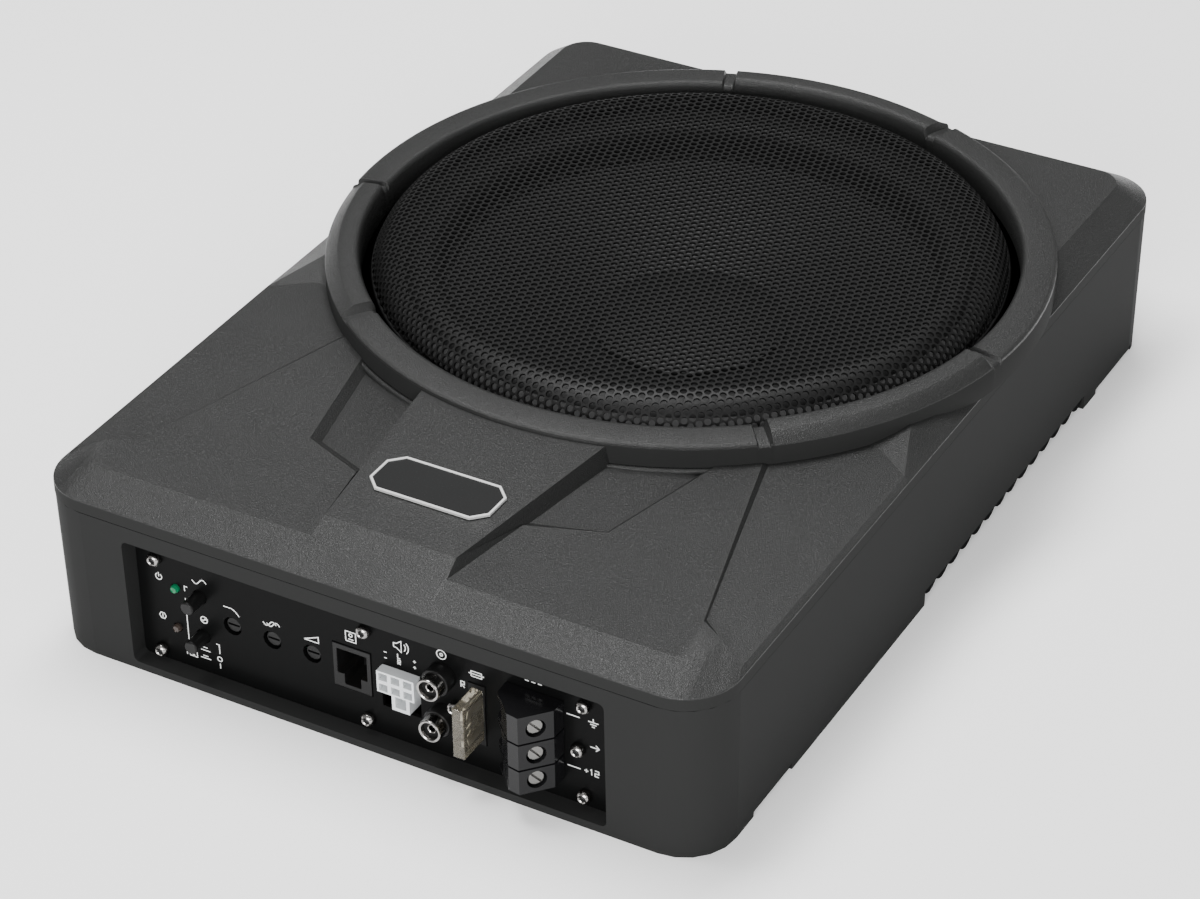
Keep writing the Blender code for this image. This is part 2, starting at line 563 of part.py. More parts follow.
def fuse_set():
    """The blade-fuse holder behind the panel and the fuse that pulls out of it."""
    x0, x1 = FUSE_X - 2.9, FUSE_X + 2.9
    holder = box((x0, x1), (PANEL_FACE_Y - 0.4, PANEL_FACE_Y + 17.0), (FUSE_LOW, FUSE_HIGH))
    part = node("fuse_holder", holder, BLACK_NYLON, smooth=False)
    middle = (FUSE_LOW + FUSE_HIGH) / 2
    cut(part, box((x0 + 0.7, x1 - 0.7), (PANEL_FACE_Y - 2, PANEL_FACE_Y + 5.0),
                  (FUSE_LOW + 1.6, FUSE_HIGH - 1.6)))
    blades = [(middle - 7.3, middle - 2.0), (middle + 2.0, middle + 7.3)]
    cut(part, *[box((FUSE_X - 0.7, FUSE_X + 0.7), (PANEL_FACE_Y, PANEL_FACE_Y + 14.5),
                    (low - 0.3, high + 0.3)) for low, high in blades])
    fuse = node("fuse", box((FUSE_X - 2.1, FUSE_X + 2.1), (PANEL_FACE_Y - 12.0, PANEL_FACE_Y + 2.4),
                            (middle - 9.5, middle + 9.5)), SMOKED_RESIN, smooth=False)
    join(fuse, *[box((FUSE_X - 0.35, FUSE_X + 0.35), (PANEL_FACE_Y + 1.0, PANEL_FACE_Y + 13.0),
                     span) for span in blades])


def terminal_block():
    """Three wire terminals in a black housing; wires enter from the left of each cell."""
    x0, x1, z0, z1 = TERMINAL
    plan = [(x0, 0), (x1, 0), (69.9, -5.7), (62.1, -14.4), (57.9, -13.7), (50.0, -5.9)]
    outline = [(x, PANEL_FACE_Y - GAP + y) for x, y in plan]
    part = node("terminal_block", prism(outline[::-1], z0, z1), BLACK_NYLON, smooth=False)
    join(part, box((53.0, 67.0), (PANEL_FACE_Y - 2, PANEL_FACE_Y + 9.0), (17.0, 37.0)))
    entries = []
    for low, high in zip(CELL_EDGES, CELL_EDGES[1:]):
        middle = (low + high) / 2
        entries.append(box((45, 63.0), (PANEL_FACE_Y - 9.2, PANEL_FACE_Y - 3.0),
                           (middle - 3.2, middle + 3.2)))
    cut(part, *entries)
    slopes = []
    for low, high in zip(CELL_EDGES, CELL_EDGES[1:]):
        slopes.append(terminal_bore(3.3, (low + high) / 2, -7.6, 6))
    cut(part, *slopes)


def terminal_bore(radius, z, low, high):
    turn = Vector((0, 0, 1)).rotation_difference(TERMINAL_NORMAL).to_matrix().to_4x4()
    shape = disc(radius, low, high, count=20)
    shape.transform(turn)
    return moved(shape, TERMINAL_FACE[0], PANEL_FACE_Y - GAP + TERMINAL_FACE[1], z)


def terminal_screws():
    turn = Vector((0, 0, 1)).rotation_difference(TERMINAL_NORMAL).to_matrix().to_4x4()
    names = ("supply_screw", "remote_screw", "ground_screw")
    for name, low, high in zip(names, CELL_EDGES, CELL_EDGES[1:]):
        body = turned([(0, -7.0), (1.6, -7.0), (1.6, -3.4), (2.9, -3.4), (2.9, -1.3), (2.5, -1.0),
                       (0, -1.0)], SLIM)
        body.transform(turn)
        y = PANEL_FACE_Y - GAP + TERMINAL_FACE[1]
        part = node(name, body, BRIGHT_STEEL, at=(TERMINAL_FACE[0], y, (low + high) / 2))
        slot = box((-2.4, 2.4), (-0.4, 0.4), (-2.2, 0))
        slot.transform(turn)
        cut(part, slot)


# ---- amplifier inside ----
def amplifier():
    board = box(BOARD_X, BOARD_Y, BOARD_Z)
    node("amplifier_board", board, BOARD_GREEN, smooth=False)
    spacer_top = BOARD_Z[1] + GAP
    for name, x, y, radius, tall in (("supply_capacitor_1", 40, -112, 8.0, 26.0),
                                     ("supply_capacitor_2", 58, -112, 8.0, 26.0)):
        can = turned([(0, 0), (radius, 0), (radius, tall - 0.8), (radius - 0.8, tall), (0, tall)],
                     24)
        node(name, can, BLACK_ALUMINIUM, at=(x, y, spacer_top))
    core = [(11.0 + 4.2 * math.cos(a), 6.2 + 6.0 * math.sin(a))
            for a in [2 * math.pi * k / 10 for k in range(10)]]
    node("power_choke", turned(core, 20), COPPER, at=(8, -116, spacer_top + 0.1))
    bar = box((-70, -20), (-104.0, -95.0), (spacer_top, 22.0))
    node("transistor_clamp", bar, BLACK_ALUMINIUM, smooth=False)


# ---- driver ----
def driver():
    """Slim driver: basket, ferrite motor, and the moving coil, cone, dust cap."""
    at = (0, DRIVER_Y, 0)
    basket = [(60.0, 22.4), (99.6, 48.0), (103.2, SEAT_Z + GAP), (FLANGE_OUTER, SEAT_Z + GAP),
              (FLANGE_OUTER, 64.2), (100.4, 64.2), (97.0, 49.8), (60.0, 25.4), (34.0, 25.4),
              (34.0, 22.4)]
    part = node("basket", turned(basket, ROUND), BLACK_STEEL, at=at)
    windows = []
    for k in range(6):
        window = box((66.0, 92.0), (-15.0, 15.0), (15.0, 60.0))
        window.transform(Matrix.Rotation(math.radians(60 * k + 30), 4, "Z"))
        windows.append(window)
    cut(part, *windows)
    top_plate = [(MAGNETIC_OUTER, 17.4), (48.0, 17.4), (48.0, 22.1), (MAGNETIC_OUTER, 22.1)]
    node("top_plate", turned(top_plate, ROUND), ZINC, at=at)
    node("magnet", turned([(31.0, 9.5), (52.0, 9.5), (52.0, 17.1), (31.0, 17.1)], ROUND), FERRITE,
         at=at)
    yoke = [(0, 6.0), (48.0, 6.0), (48.0, 9.2), (MAGNETIC_INNER, 9.2), (MAGNETIC_INNER, 22.6),
            (20.0, 22.6), (0, 22.6)]
    node("yoke", turned(yoke, ROUND), ZINC, at=at)
    node("voice_coil", turned([(COIL_INNER, 15.6), (COIL_OUTER, 15.6), (COIL_OUTER, 33.0),
                               (COIL_INNER, 33.0)], ROUND), COPPER, at=at)
    node("spider", turned([(26.4, 30.2), (40.0, 31.4), (48.0, 29.8), (54.0, 25.8), (59.4, 25.8),
                           (59.4, 26.8), (54.6, 26.8), (48.4, 31.0), (40.0, 32.6), (26.4, 31.4)],
                          ROUND), SPIDER_CLOTH, at=at)
    node("cone", turned([(26.4, 33.6), (84.0, 56.4), (86.6, 56.6), (86.6, 58.0), (83.6, 58.0),
                         (24.4, 34.8), (24.4, 33.6)], ROUND), PULP, at=at)
    cap = [(0, 44.6), (16.0, 43.4), (28.0, 40.2), (34.6, 39.4), (34.6, 40.4), (28.4, 41.4),
           (16.2, 44.6), (0, 45.8)]
    node("dust_cap", turned(cap, ROUND), PULP, at=at)
    node("surround", surround_mesh(), RUBBER, at=at)


def surround_mesh():
    """A half-roll between the cone's edge and the basket's flange."""
    outer, inner = [], []
    for k in range(6):
        a = math.pi * (1 - k / 5)
        outer.append((ROLL_R + 6.8 * math.cos(a), ROLL_Z + 5.6 * math.sin(a)))
        inner.append((ROLL_R + 5.9 * math.cos(a), ROLL_Z + 4.7 * math.sin(a)))
    profile = outer + [(108.8, 65.4), (108.8, 64.6)] + inner[::-1][:-1]
    profile += [(88.1, 58.6), (84.8, 58.3), (84.8, 59.2), (87.2, 59.4)]
    return turned(profile, ROUND)


def base_screws():
    for count, (x, y) in enumerate(CORNER_POSTS):
        body = turned([(0, 0.4), (3.4, 0.4), (3.6, 1.2), (3.6, 2.3), (1.7, 2.3), (1.7, 61.0),
                       (0, 61.6)], SLIM)
        part = node("base_screw_%d" % (count + 1), body, ZINC, at=(x, y, 0))
        cut(part, box((-2.2, 2.2), (-0.5, 0.5), (-1, 1.4)))
        cut(part, box((-0.5, 0.5), (-2.2, 2.2), (-1, 1.4)))


def main():
    for old in list(bpy.data.objects):
        bpy.data.objects.remove(old)
    case_body()
    heatsink_base()
    top_cover()
    grille_ring()
    grille()
    badge_plate()
    control_panel()
    panel_screws()
    lamps()
    push_switches()
    potentiometers()
    remote_jack()
    highlevel_socket()
    rca_jacks()
    fuse_set()
    terminal_block()
    terminal_screws()
    amplifier()
    driver()
    base_screws()


main()
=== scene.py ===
import math

import bmesh
import bpy
import numpy as np
from mathutils import Matrix, Vector


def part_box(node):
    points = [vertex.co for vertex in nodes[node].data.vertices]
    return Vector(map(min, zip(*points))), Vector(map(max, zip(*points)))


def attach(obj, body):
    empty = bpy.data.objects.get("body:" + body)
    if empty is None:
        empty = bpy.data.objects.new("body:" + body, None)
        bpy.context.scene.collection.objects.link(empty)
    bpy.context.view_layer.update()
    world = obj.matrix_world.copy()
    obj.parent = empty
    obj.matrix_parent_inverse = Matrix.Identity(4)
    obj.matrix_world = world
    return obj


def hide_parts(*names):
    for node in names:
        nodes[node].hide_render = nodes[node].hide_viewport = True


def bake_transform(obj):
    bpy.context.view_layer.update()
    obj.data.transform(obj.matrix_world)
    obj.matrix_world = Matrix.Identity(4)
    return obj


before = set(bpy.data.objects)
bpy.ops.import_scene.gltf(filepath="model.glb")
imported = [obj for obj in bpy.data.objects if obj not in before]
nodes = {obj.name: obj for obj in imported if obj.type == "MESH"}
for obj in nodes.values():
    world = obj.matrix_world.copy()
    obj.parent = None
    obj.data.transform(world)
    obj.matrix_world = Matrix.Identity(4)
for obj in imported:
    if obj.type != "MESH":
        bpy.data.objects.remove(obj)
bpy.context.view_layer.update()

scene = bpy.context.scene

# ---- Camera, floor and studio light ----
# The object lies on a plain pale floor. A broad soft panel hangs above it, a bright one stands
# low in front and a weak one at the right.
camera = bpy.data.objects.new("camera", bpy.data.cameras.new("camera"))
camera.data.sensor_width = 36.0
camera.data.lens = 108.46
camera.data.clip_end = 20.0
right = Vector((0.87191, 0.48953, -0.01128))
up = Vector((-0.26721, 0.49498, 0.8268))
camera.matrix_world = Matrix.Translation((0.5134, -0.9204, 0.7279)) @ Matrix(
    (right, up, right.cross(up))).transposed().to_4x4()
scene.collection.objects.link(camera)
scene.camera = camera

floor_mesh = bpy.data.meshes.new("floor")
floor_half = 4.0
floor_mesh.from_pydata([(-floor_half, -floor_half, 0), (floor_half, -floor_half, 0),
                        (floor_half, floor_half, 0), (-floor_half, floor_half, 0)],
                       [], [(0, 1, 2, 3)])
floor = bpy.data.objects.new("floor", floor_mesh)
scene.collection.objects.link(floor)
floor_finish = bpy.data.materials.new("floor_finish")
floor_finish.use_nodes = True
floor_shader = floor_finish.node_tree.nodes["Principled BSDF"]
floor_shader.inputs["Base Color"].default_value = (0.93, 0.93, 0.93, 1)
floor_shader.inputs["Roughness"].default_value = 0.9
floor_shader.inputs["Specular IOR Level"].default_value = 0.1
floor_shader.inputs["Emission Color"].default_value = (1, 1, 1, 1)
floor_shader.inputs["Emission Strength"].default_value = 0.22
floor_mesh.materials.append(floor_finish)


def soft_panel(name, place, target, width, height, power):
    """A rectangular area light at `place` that faces `target`."""
    light = bpy.data.lights.new(name, "AREA")
    light.shape = "RECTANGLE"
    light.size, light.size_y = width, height
    light.energy = power
    lamp = bpy.data.objects.new(name, light)
    aim = (Vector(target) - Vector(place)).to_track_quat("-Z", "Y")
    lamp.matrix_world = Matrix.LocRotScale(Vector(place), aim, None)
    scene.collection.objects.link(lamp)


soft_panel("overhead_panel", (-0.26, 0.1, 1.35), (0, 0, 0), 1.2, 0.45, 33.0)
soft_panel("front_panel", (0.5, -1.95, 0.75), (0, 0, 0), 1.2, 0.7, 54.0)
soft_panel("right_panel", (2.2, -1.1, 1.1), (0, -0.1, 0), 1.4, 1.0, 13.0)
world = bpy.data.worlds.new("studio")
world.use_nodes = True
world.node_tree.nodes["Background"].inputs["Color"].default_value = (1, 1, 1, 1)
world.node_tree.nodes["Background"].inputs["Strength"].default_value = 0.42
scene.world = world


# ---- Case walls ----
# The lower case is one deep aluminium tray with drafted sides and a window for the panel, painted
# smooth satin charcoal. Its edges are barely broken, so they catch a thin line of light.
class Wire:
    """A shader socket. Arithmetic on it adds Math nodes, and `node` adds any other node."""

    def __init__(self, tree, socket=None):
        self.tree, self.socket = tree, socket

    def node(self, kind, settings, values, output=0):
        """Adds one node: its settings first, then the values or links of its inputs."""
        made = self.tree.nodes.new("ShaderNode" + kind)
        for name, value in settings.items():
            if name == "stops":
                stops = made.color_ramp.elements
                while len(stops) < len(value):
                    stops.new(1.0)
                for stop, (place, colour) in zip(stops, value):
                    stop.position, stop.color = place, colour
            else:
                setattr(made, name, value)
        for name, value in values.items():
            if isinstance(value, Wire):
                self.tree.links.new(value.socket, made.inputs[name])
            else:
                made.inputs[name].default_value = value
        return Wire(self.tree, made.outputs[output])

    def math(self, operation, *values):
        return self.node("Math", {"operation": operation}, dict(enumerate(values)))

    def __add__(self, other):
        return self.math("ADD", self, other)

    def __mul__(self, other):
        return self.math("MULTIPLY", self, other)

    def __sub__(self, other):
        return self.math("SUBTRACT", self, other)

    def __rsub__(self, other):
        return self.math("SUBTRACT", other, self)

    __radd__, __rmul__ = __add__, __mul__


def blank_finish(name, roughness=0.5, metallic=0.0, **constants):
    """A new material: (material, its shader, a Wire to build on, object coordinates)."""
    made = bpy.data.materials.new(name)
    made.use_nodes = True
    shader = made.node_tree.nodes["Principled BSDF"]
    shader.inputs["Roughness"].default_value = roughness
    shader.inputs["Metallic"].default_value = metallic
    for label, value in constants.items():
        shader.inputs[label.replace("_", " ")].default_value = value
    wire = Wire(made.node_tree)
    return made, shader, wire, wire.node("TexCoord", {}, {}, "Object")


def noise(wire, place, size, detail=2.0, roughness=0.5, stretch=None):
    """Noise whose lumps are `size` metres across, drawn out along an axis by `stretch`."""
    if stretch:
        place = wire.node("Mapping", {}, {"Vector": place, "Scale": stretch})
    return wire.node("TexNoise", {}, {"Vector": place, "Scale": 1.0 / size, "Detail": detail,
                                      "Roughness": roughness}, "Fac")


def feed(made, shader, name, value):
    """Links a Wire to one of the shader's inputs."""
    made.node_tree.links.new(value.socket, shader.inputs[name])


def grained(name, colour, roughness, grain=0.0006, depth=0.00002, tint=0.12, spread=0.08,
            stretch=None, cloud=0.03, **constants):
    """A finish with fine grain: bump and roughness from noise of `grain` metres, and a slow
    change of brightness by `tint` over `cloud` metres."""
    made, shader, wire, place = blank_finish(name, roughness, **constants)
    fine = noise(wire, place, grain, 3.0, 0.6, stretch)
    slow = noise(wire, place, cloud, 2.0)
    dark = tuple(c * (1 - tint) for c in colour) + (1,)
    light = tuple(min(1, c * (1 + tint)) for c in colour) + (1,)
    mixed = wire.node("Mix", {"data_type": "RGBA"}, {0: slow * 0.6 + fine * 0.4, 6: dark,
                                                     7: light}, 2)
    feed(made, shader, "Base Color", mixed)
    feed(made, shader, "Roughness", (fine - 0.5) * (2 * spread) + roughness)
    bump = wire.node("Bump", {}, {"Height": fine, "Distance": depth, "Strength": 1.0})
    feed(made, shader, "Normal", bump)
    return made


def softened(node_name, name, width, segments=2, limit=30, smooth=25, splits=()):
    """A copy of a CAD node with its triangles merged and its edges rounded by `width`. Each split
    is an (axis, place) plane that cuts a wall close to where its corner begins to turn."""
    mesh = nodes[node_name].data.copy()
    mesh.name = name
    work = bmesh.new()
    work.from_mesh(mesh)
    bmesh.ops.remove_doubles(work, verts=work.verts, dist=0.00001)
    bmesh.ops.dissolve_limit(work, angle_limit=math.radians(0.6), verts=work.verts,
                             edges=work.edges)
    for axis, place in splits:
        level = [place * (k == axis) for k in range(3)]
        square = [float(k == axis) for k in range(3)]
        bmesh.ops.bisect_plane(work, geom=work.faces[:] + work.edges[:] + work.verts[:],
                               plane_co=level, plane_no=square)
    work.to_mesh(mesh)
    work.free()
    mesh.shade_smooth()
    mesh.set_sharp_from_angle(angle=math.radians(smooth))
    piece = bpy.data.objects.new(name, mesh)
    scene.collection.objects.link(piece)
    if width:
        edges = piece.modifiers.new("edges", "BEVEL")
        edges.width = width
        edges.segments = segments
        edges.limit_method = "ANGLE"
        edges.angle_limit = math.radians(limit)
        edges.miter_outer = "MITER_ARC"
        edges.use_clamp_overlap = True
    flat = piece.modifiers.new("flat_faces", "WEIGHTED_NORMAL")
    flat.keep_sharp, flat.weight = True, 100
    return piece


def wear(piece, made, body="enclosure", replaces=()):
    """Gives a piece its material and says what it moves with and what it stands for."""
    piece.data.materials.clear()
    piece.data.materials.append(made)
    if piece.name not in nodes:
        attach(piece, body)
        if replaces:
            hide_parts(*replaces)


case_colour = (0.0190, 0.0193, 0.0191)
case_paint = grained("case_paint", case_colour, 0.55, grain=0.0005, depth=0.000012, tint=0.06,
                     spread=0.05, Specular_IOR_Level=0.02)
corner_starts = [(axis, side * place) for axis, place in ((0, 0.1054), (1, 0.1568))
                 for side in (-1, 1)]
case = softened("case_body", "case_walls", 0.0005, splits=corner_starts)
wear(case, case_paint, replaces=["case_body"])


# ---- Finned base plate ----
# A thick black-anodised aluminium plate closes the case from below. Its milled ribs run out to
# both sides, where their scalloped ends fill the vents in the walls.
black_anodised = grained("black_anodised", (0.003, 0.003, 0.0032), 0.9, grain=0.0004,
                         depth=0.00001, stretch=(0.25, 1, 1), Specular_IOR_Level=0.03)
base = softened("heatsink_base", "base_plate", 0.0, smooth=50)
wear(base, black_anodised, replaces=["heatsink_base"])


# ---- Top cover ----
# A faceted aluminium lid in textured charcoal powder coat: a raised spine at the front, a sunken
# pocket on each side of it, a stepped facet along the flank and a raised plateau at the back. The
# upright outer faces under the lip carry painted shade: a copy of the coat that hardly reflects
# and is a little lighter in colour, picked out by the way each face looks.
lip_z, band_z, lip_round = 62.5, 57.9, 0.35
driver_y = 43.8
seat_r = 122.0                          # where the surfaces end, hidden under the ring
lip_x, lip_y, lip_r = 124.8 - lip_round, 176.2 - lip_round, 18.8 - lip_round


def arc(centre, radius, start, end, z, count=14):
    """Points on a circle about `centre` from `start` to `end` degrees at height z."""
    a = np.radians(np.linspace(start, end, count))
    return np.column_stack((centre[0] + radius * np.cos(a), centre[1] + radius * np.sin(a),
                            np.full(count, z)))


def seat_arc(start, end, count=8):
    """Points on the ring's seat from `start` to `end` degrees, on the plateau or its bevel."""
    ring = arc((0, driver_y), seat_r, start, end, 69.6, count)
    ring[:, 2] = np.minimum(69.6, 62.5 + (124.8 - ring[:, 0]) * 7.1 / 10.3)
    return ring


def between(first, second):
    """Two chains of points resampled to equal counts by their share of length, corners kept."""
    def share(chain):
        """How far along the chain each point is, from 0 to 1."""
        steps = np.linalg.norm(np.diff(chain, axis=0), axis=1)
        return np.concatenate(([0], np.cumsum(steps))) / steps.sum()
    first, second = np.asarray(first, float), np.asarray(second, float)
    spots = np.unique(np.round(np.concatenate((share(first), share(second))), 5))
    return [np.column_stack([np.interp(spots, share(chain), chain[:, i]) for i in range(3)])
            for chain in (first, second)]


front_corner = arc((lip_x - lip_r, -lip_y + lip_r), lip_r, -90, 0, lip_z)
back_corner = arc((lip_x - lip_r, lip_y - lip_r), lip_r, 0, 90, lip_z)
plateau_corner = arc((104.6, 154.3), 9.9, 0, 90, 69.6)
spine_edge, spine_ring = (24.3, -155.2, 71.2), (35.84, -72.6, 71.2)
flank_a, flank_b = (24.8, -162.2, 67.4), (104.5, -162.6, 67.2)
flank_c, flank_d = (113.3, -157.6, 67.2), (113.6, -148.3, 67.2)
flank_e, flank_f = (104.2, -142.4, 66.9), (78.55, -50.0, 65.43)
pocket_in, pocket_out, pocket_rim = (31.1, -126.3, 67.8), (56.0, -115.4, 66.5), (69.8, -57, 65.36)
floor_in, floor_out, floor_rim = (31.6, -123.0, 66.6), (53.6, -112.2, 63.9), (66.2, -59, 62.9)
spine_foot = (37.4, -72.0, 64.0)
facet_in, facet_ring = (103.6, -139.5, 65.2), (80.4, -50.0, 64.6)
facet_front, facet_side = (123.1, -153.6, 63.9), (123.1, -40.0, 64.3)
facet_tip, shoulder = (109.5, -30.0, 64.5), (113.6, -15.0, 67.4)
lip_spine, lip_side = (24.8, -lip_y, lip_z), (lip_x, -40.0, lip_z)
seat_side, seat_back = seat_arc(-21, 21, 9), seat_arc(21, 90, 12)
ridge = (0.0, -lip_y, lip_z), (0.0, -155.2, 71.2), (0.0, -78.2, 71.2)

facets = [
    [ridge[0], lip_spine, flank_a, spine_edge, ridge[1]],
    [ridge[1], spine_edge, spine_ring, ridge[2]],
    [spine_edge, flank_a, pocket_in], [spine_edge, pocket_in, floor_in],
    [spine_edge, floor_in, spine_foot, spine_ring],
    [flank_a, flank_b, flank_e, pocket_out], [flank_a, pocket_out, pocket_in],
    [flank_b, (110.6, -161.0, 67.2), flank_c, flank_d, flank_e],
    [flank_e, flank_f, pocket_rim, pocket_out],
    [pocket_in, pocket_out, floor_out, floor_in],
    [pocket_out, pocket_rim, floor_rim, floor_out],
    [floor_in, floor_out, floor_rim, spine_foot],
    [flank_e, flank_d, facet_front, facet_in], [flank_f, flank_e, facet_in, facet_ring],
    [facet_in, facet_front, facet_side], [facet_in, facet_side, facet_tip, facet_ring],
    [facet_tip, facet_side, shoulder],
    [facet_ring, facet_tip, (97.4, -29.6, 64.5)],
    [facet_tip, shoulder, seat_side[0], (97.4, -29.6, 64.5)],
    [*seat_back, (0, 164.2, 69.6), *plateau_corner[::-1]],
]
strips = [
    ([lip_spine, front_corner[0]], [flank_a, flank_b]),
    (front_corner, [flank_b, (110.6, -161.0, 67.2), flank_c, flank_d, facet_front]),
    ([front_corner[-1], lip_side], [facet_front, facet_side]),
    ([lip_side, (lip_x, -15, lip_z)], [facet_side, shoulder]),
    ([(lip_x, -15, lip_z), (lip_x, 87.6, lip_z)], [shoulder, *seat_side]),
    ([(lip_x, 87.6, lip_z), back_corner[0]], [seat_side[-1], plateau_corner[0]]),
    (back_corner, plateau_corner),
    ([back_corner[-1], (0, lip_y, lip_z)], [plateau_corner[-1], (0, 164.2, 69.6)]),
]


def mesh_piece(name, points, faces, smooth=True):
    """A linked object from points in millimetres and faces, at the origin."""
    mesh = bpy.data.meshes.new(name)
    mesh.from_pydata((np.asarray(points, float) * 0.001).tolist(), [],
                     [tuple(int(i) for i in face) for face in faces])
    mesh.validate()
    if smooth:
        mesh.shade_smooth()
    piece = bpy.data.objects.new(name, mesh)
    scene.collection.objects.link(piece)
    return piece


def grid_faces(rows, columns, wrap_rows=False, wrap_columns=False):
    """Quads between neighbouring rows and columns of a grid, as an array of corner numbers."""
    r = np.arange(rows if wrap_rows else rows - 1)
    c = np.arange(columns if wrap_columns else columns - 1)
    r, c = np.meshgrid(r, c, indexing="ij")
    down, across = (r + 1) % rows, (c + 1) % columns
    return np.stack((r * columns + c, r * columns + across, down * columns + across,
                     down * columns + c), -1).reshape(-1, 4)


points, faces = [], []
for chain in facets:
    faces.append(np.arange(len(chain)) + len(points))
    points += [tuple(p) for p in chain]
for outer, inner in strips:
    outer, inner = between(outer, inner)
    quads = grid_faces(2, len(outer)) + len(points)
    points += [tuple(p) for p in outer] + [tuple(p) for p in inner]
    faces += list(quads)
lip = np.concatenate(([(0, -lip_y, lip_z)], front_corner, back_corner, [(0, lip_y, lip_z)]))
outward = np.concatenate(([(0, -1)], front_corner[:, :2] - (lip_x - lip_r, -lip_y + lip_r),
                          back_corner[:, :2] - (lip_x - lip_r, lip_y - lip_r), [(0, 1)]))
outward /= np.linalg.norm(outward, axis=1)[:, None]
band = [(lip_round, band_z), (lip_round, lip_z - 0.45), (lip_round * 0.75, lip_z - 0.13),
        (0, lip_z)]
rows = [np.column_stack((lip[:, :2] + outward * out, np.full(len(lip), z))) for out, z in band]
faces += list(grid_faces(len(rows), len(lip)) + len(points))
points += [tuple(p) for row in rows for p in row]
count = len(points)
mirrored = [(-x, y, z) for x, y, z in points]
faces += [face[::-1] + count for face in faces]
cover = mesh_piece("cover_shell", points + mirrored, faces)
cover_mesh = bmesh.new()
cover_mesh.from_mesh(cover.data)
bmesh.ops.remove_doubles(cover_mesh, verts=cover_mesh.verts, dist=0.00002)
bmesh.ops.recalc_face_normals(cover_mesh, faces=cover_mesh.faces)
top_face = max(cover_mesh.faces, key=lambda f: f.calc_area())
if top_face.normal.z < 0:
    bmesh.ops.reverse_faces(cover_mesh, faces=cover_mesh.faces)
cover_mesh.to_mesh(cover.data)
cover_mesh.free()
cover.data.set_sharp_from_angle(angle=math.radians(7.5))


def powder_coat(name, colour, roughness, grain, depth, relief_shading):
    """Textured powder coat: pebbled bump with painted shade in its pits and a painted highlight on
    its tops, which are also glossier.
    """
    made, shader, wire, place = blank_finish(name, roughness, Specular_IOR_Level=0.25)
    pebble = noise(wire, place, grain, 2.0, 0.55)
    fine = noise(wire, place, grain * 0.45, 1.0, 0.5)
    slow = noise(wire, place, 0.05, 2.0)
    height = pebble * 0.7 + fine * 0.3
    # Painted shade in the pits and painted highlight on the tops, following the bump's height.
    pit_shade = [c * (1 - relief_shading) for c in colour]
    tip_highlight = [c * (1 + 1.6 * relief_shading) for c in colour]
    shade = wire.node("ValToRGB", {"stops": [(0.3, (*pit_shade, 1)), (0.5, (*colour, 1)),
                                             (0.72, (*tip_highlight, 1))]},
                      {"Fac": height * 0.9 + slow * 0.1})
    feed(made, shader, "Base Color", shade)
    feed(made, shader, "Roughness", (0.5 - height) * 0.9 + roughness)
    feed(made, shader, "Normal", wire.node("Bump", {}, {"Height": height, "Distance": depth}))
    return made


charcoal_coat = powder_coat("charcoal_coat", (0.0155, 0.0158, 0.0155), 0.33, 0.00043, 0.0003, 0.55)
wear(cover, charcoal_coat, replaces=["top_cover"])
# Painted shade: a copy of the coat for upright outer faces, with hardly any reflection and a
# slightly lighter colour, in place of the light those faces would catch.
upright_shade_coat = grained("upright_shade_coat", (0.0178, 0.0181, 0.0178), 0.6, grain=0.0005, depth=0.00002,
                      Specular_IOR_Level=0.03)


def give_upright_shade(piece, top):
    """Gives the upright outer faces below `top` millimetres the shaded copy of the coat: painted
    shade picked by the way each face looks, in place of the light it would reflect.
    """
    piece.data.materials.append(upright_shade_coat)
    for face in piece.data.polygons:
        away_x, away_y = face.center.x, face.center.y - driver_y * 0.001
        faces_out = away_x * face.normal.x + away_y * face.normal.y > 0
        upright = abs(face.normal.z) < 0.3
        face.material_index = int(faces_out and upright and face.center.z < top * 0.001)


give_upright_shade(cover, lip_z - 0.3)


# ---- Grille ring ----
# A cast ring in the same powder coat clamps the grille. Three arcs stand proud with a broad outer
# bevel, and a narrow groove is milled beside each of their ends.
def swept(name, profile_at, degrees, closed=True):
    """A closed profile carried round the driver axis; `profile_at` gives (columns, points, 2)."""
    a = np.radians(degrees)[:, None]
    profile = profile_at(degrees)
    r, z = profile[..., 0], profile[..., 1]
    grid = np.stack((r * np.cos(a), driver_y + r * np.sin(a), z), -1)
    rows, columns = grid.shape[:2]
    quads = grid_faces(rows, columns, wrap_rows=closed, wrap_columns=True)[:, ::-1]
    faces = list(quads)
    if not closed:
        faces += [np.arange(columns), np.arange(columns)[::-1] + (rows - 1) * columns]
    return mesh_piece(name, grid.reshape(-1, 3), faces)


ring_low = np.array([(116.1, 62.7), (128.4, 62.7), (128.4, 71.7), (128.2, 72.5), (127.6, 73.05),
                     (126.8, 73.25), (118.6, 73.6), (117.5, 73.5), (116.8, 73.1), (116.1, 71.8)])
ring_high = np.array([(116.1, 62.7), (128.4, 62.7), (128.4, 71.5), (128.1, 72.0), (124.0, 75.0),
                      (123.5, 75.2), (118.6, 75.4), (117.5, 75.2), (116.8, 74.6), (116.1, 73.0)])
ring_groove = ring_low - np.array([0, 1.3]) * (ring_low[:, 1:] > 63)


def ring_profile(degrees):
    """Blend of the raised, grooved and low profiles by the angle from a raised arc's middle."""
    off = np.abs((degrees - 90 + 60) % 120 - 60)
    high = np.interp(off, [19.75, 20.0], [1, 0])[:, None, None]
    groove = np.interp(off, [20.0, 20.25, 21.9, 22.2], [0, 1, 1, 0])[:, None, None]
    return ring_low + (ring_high - ring_low) * high + (ring_groove - ring_low) * groove


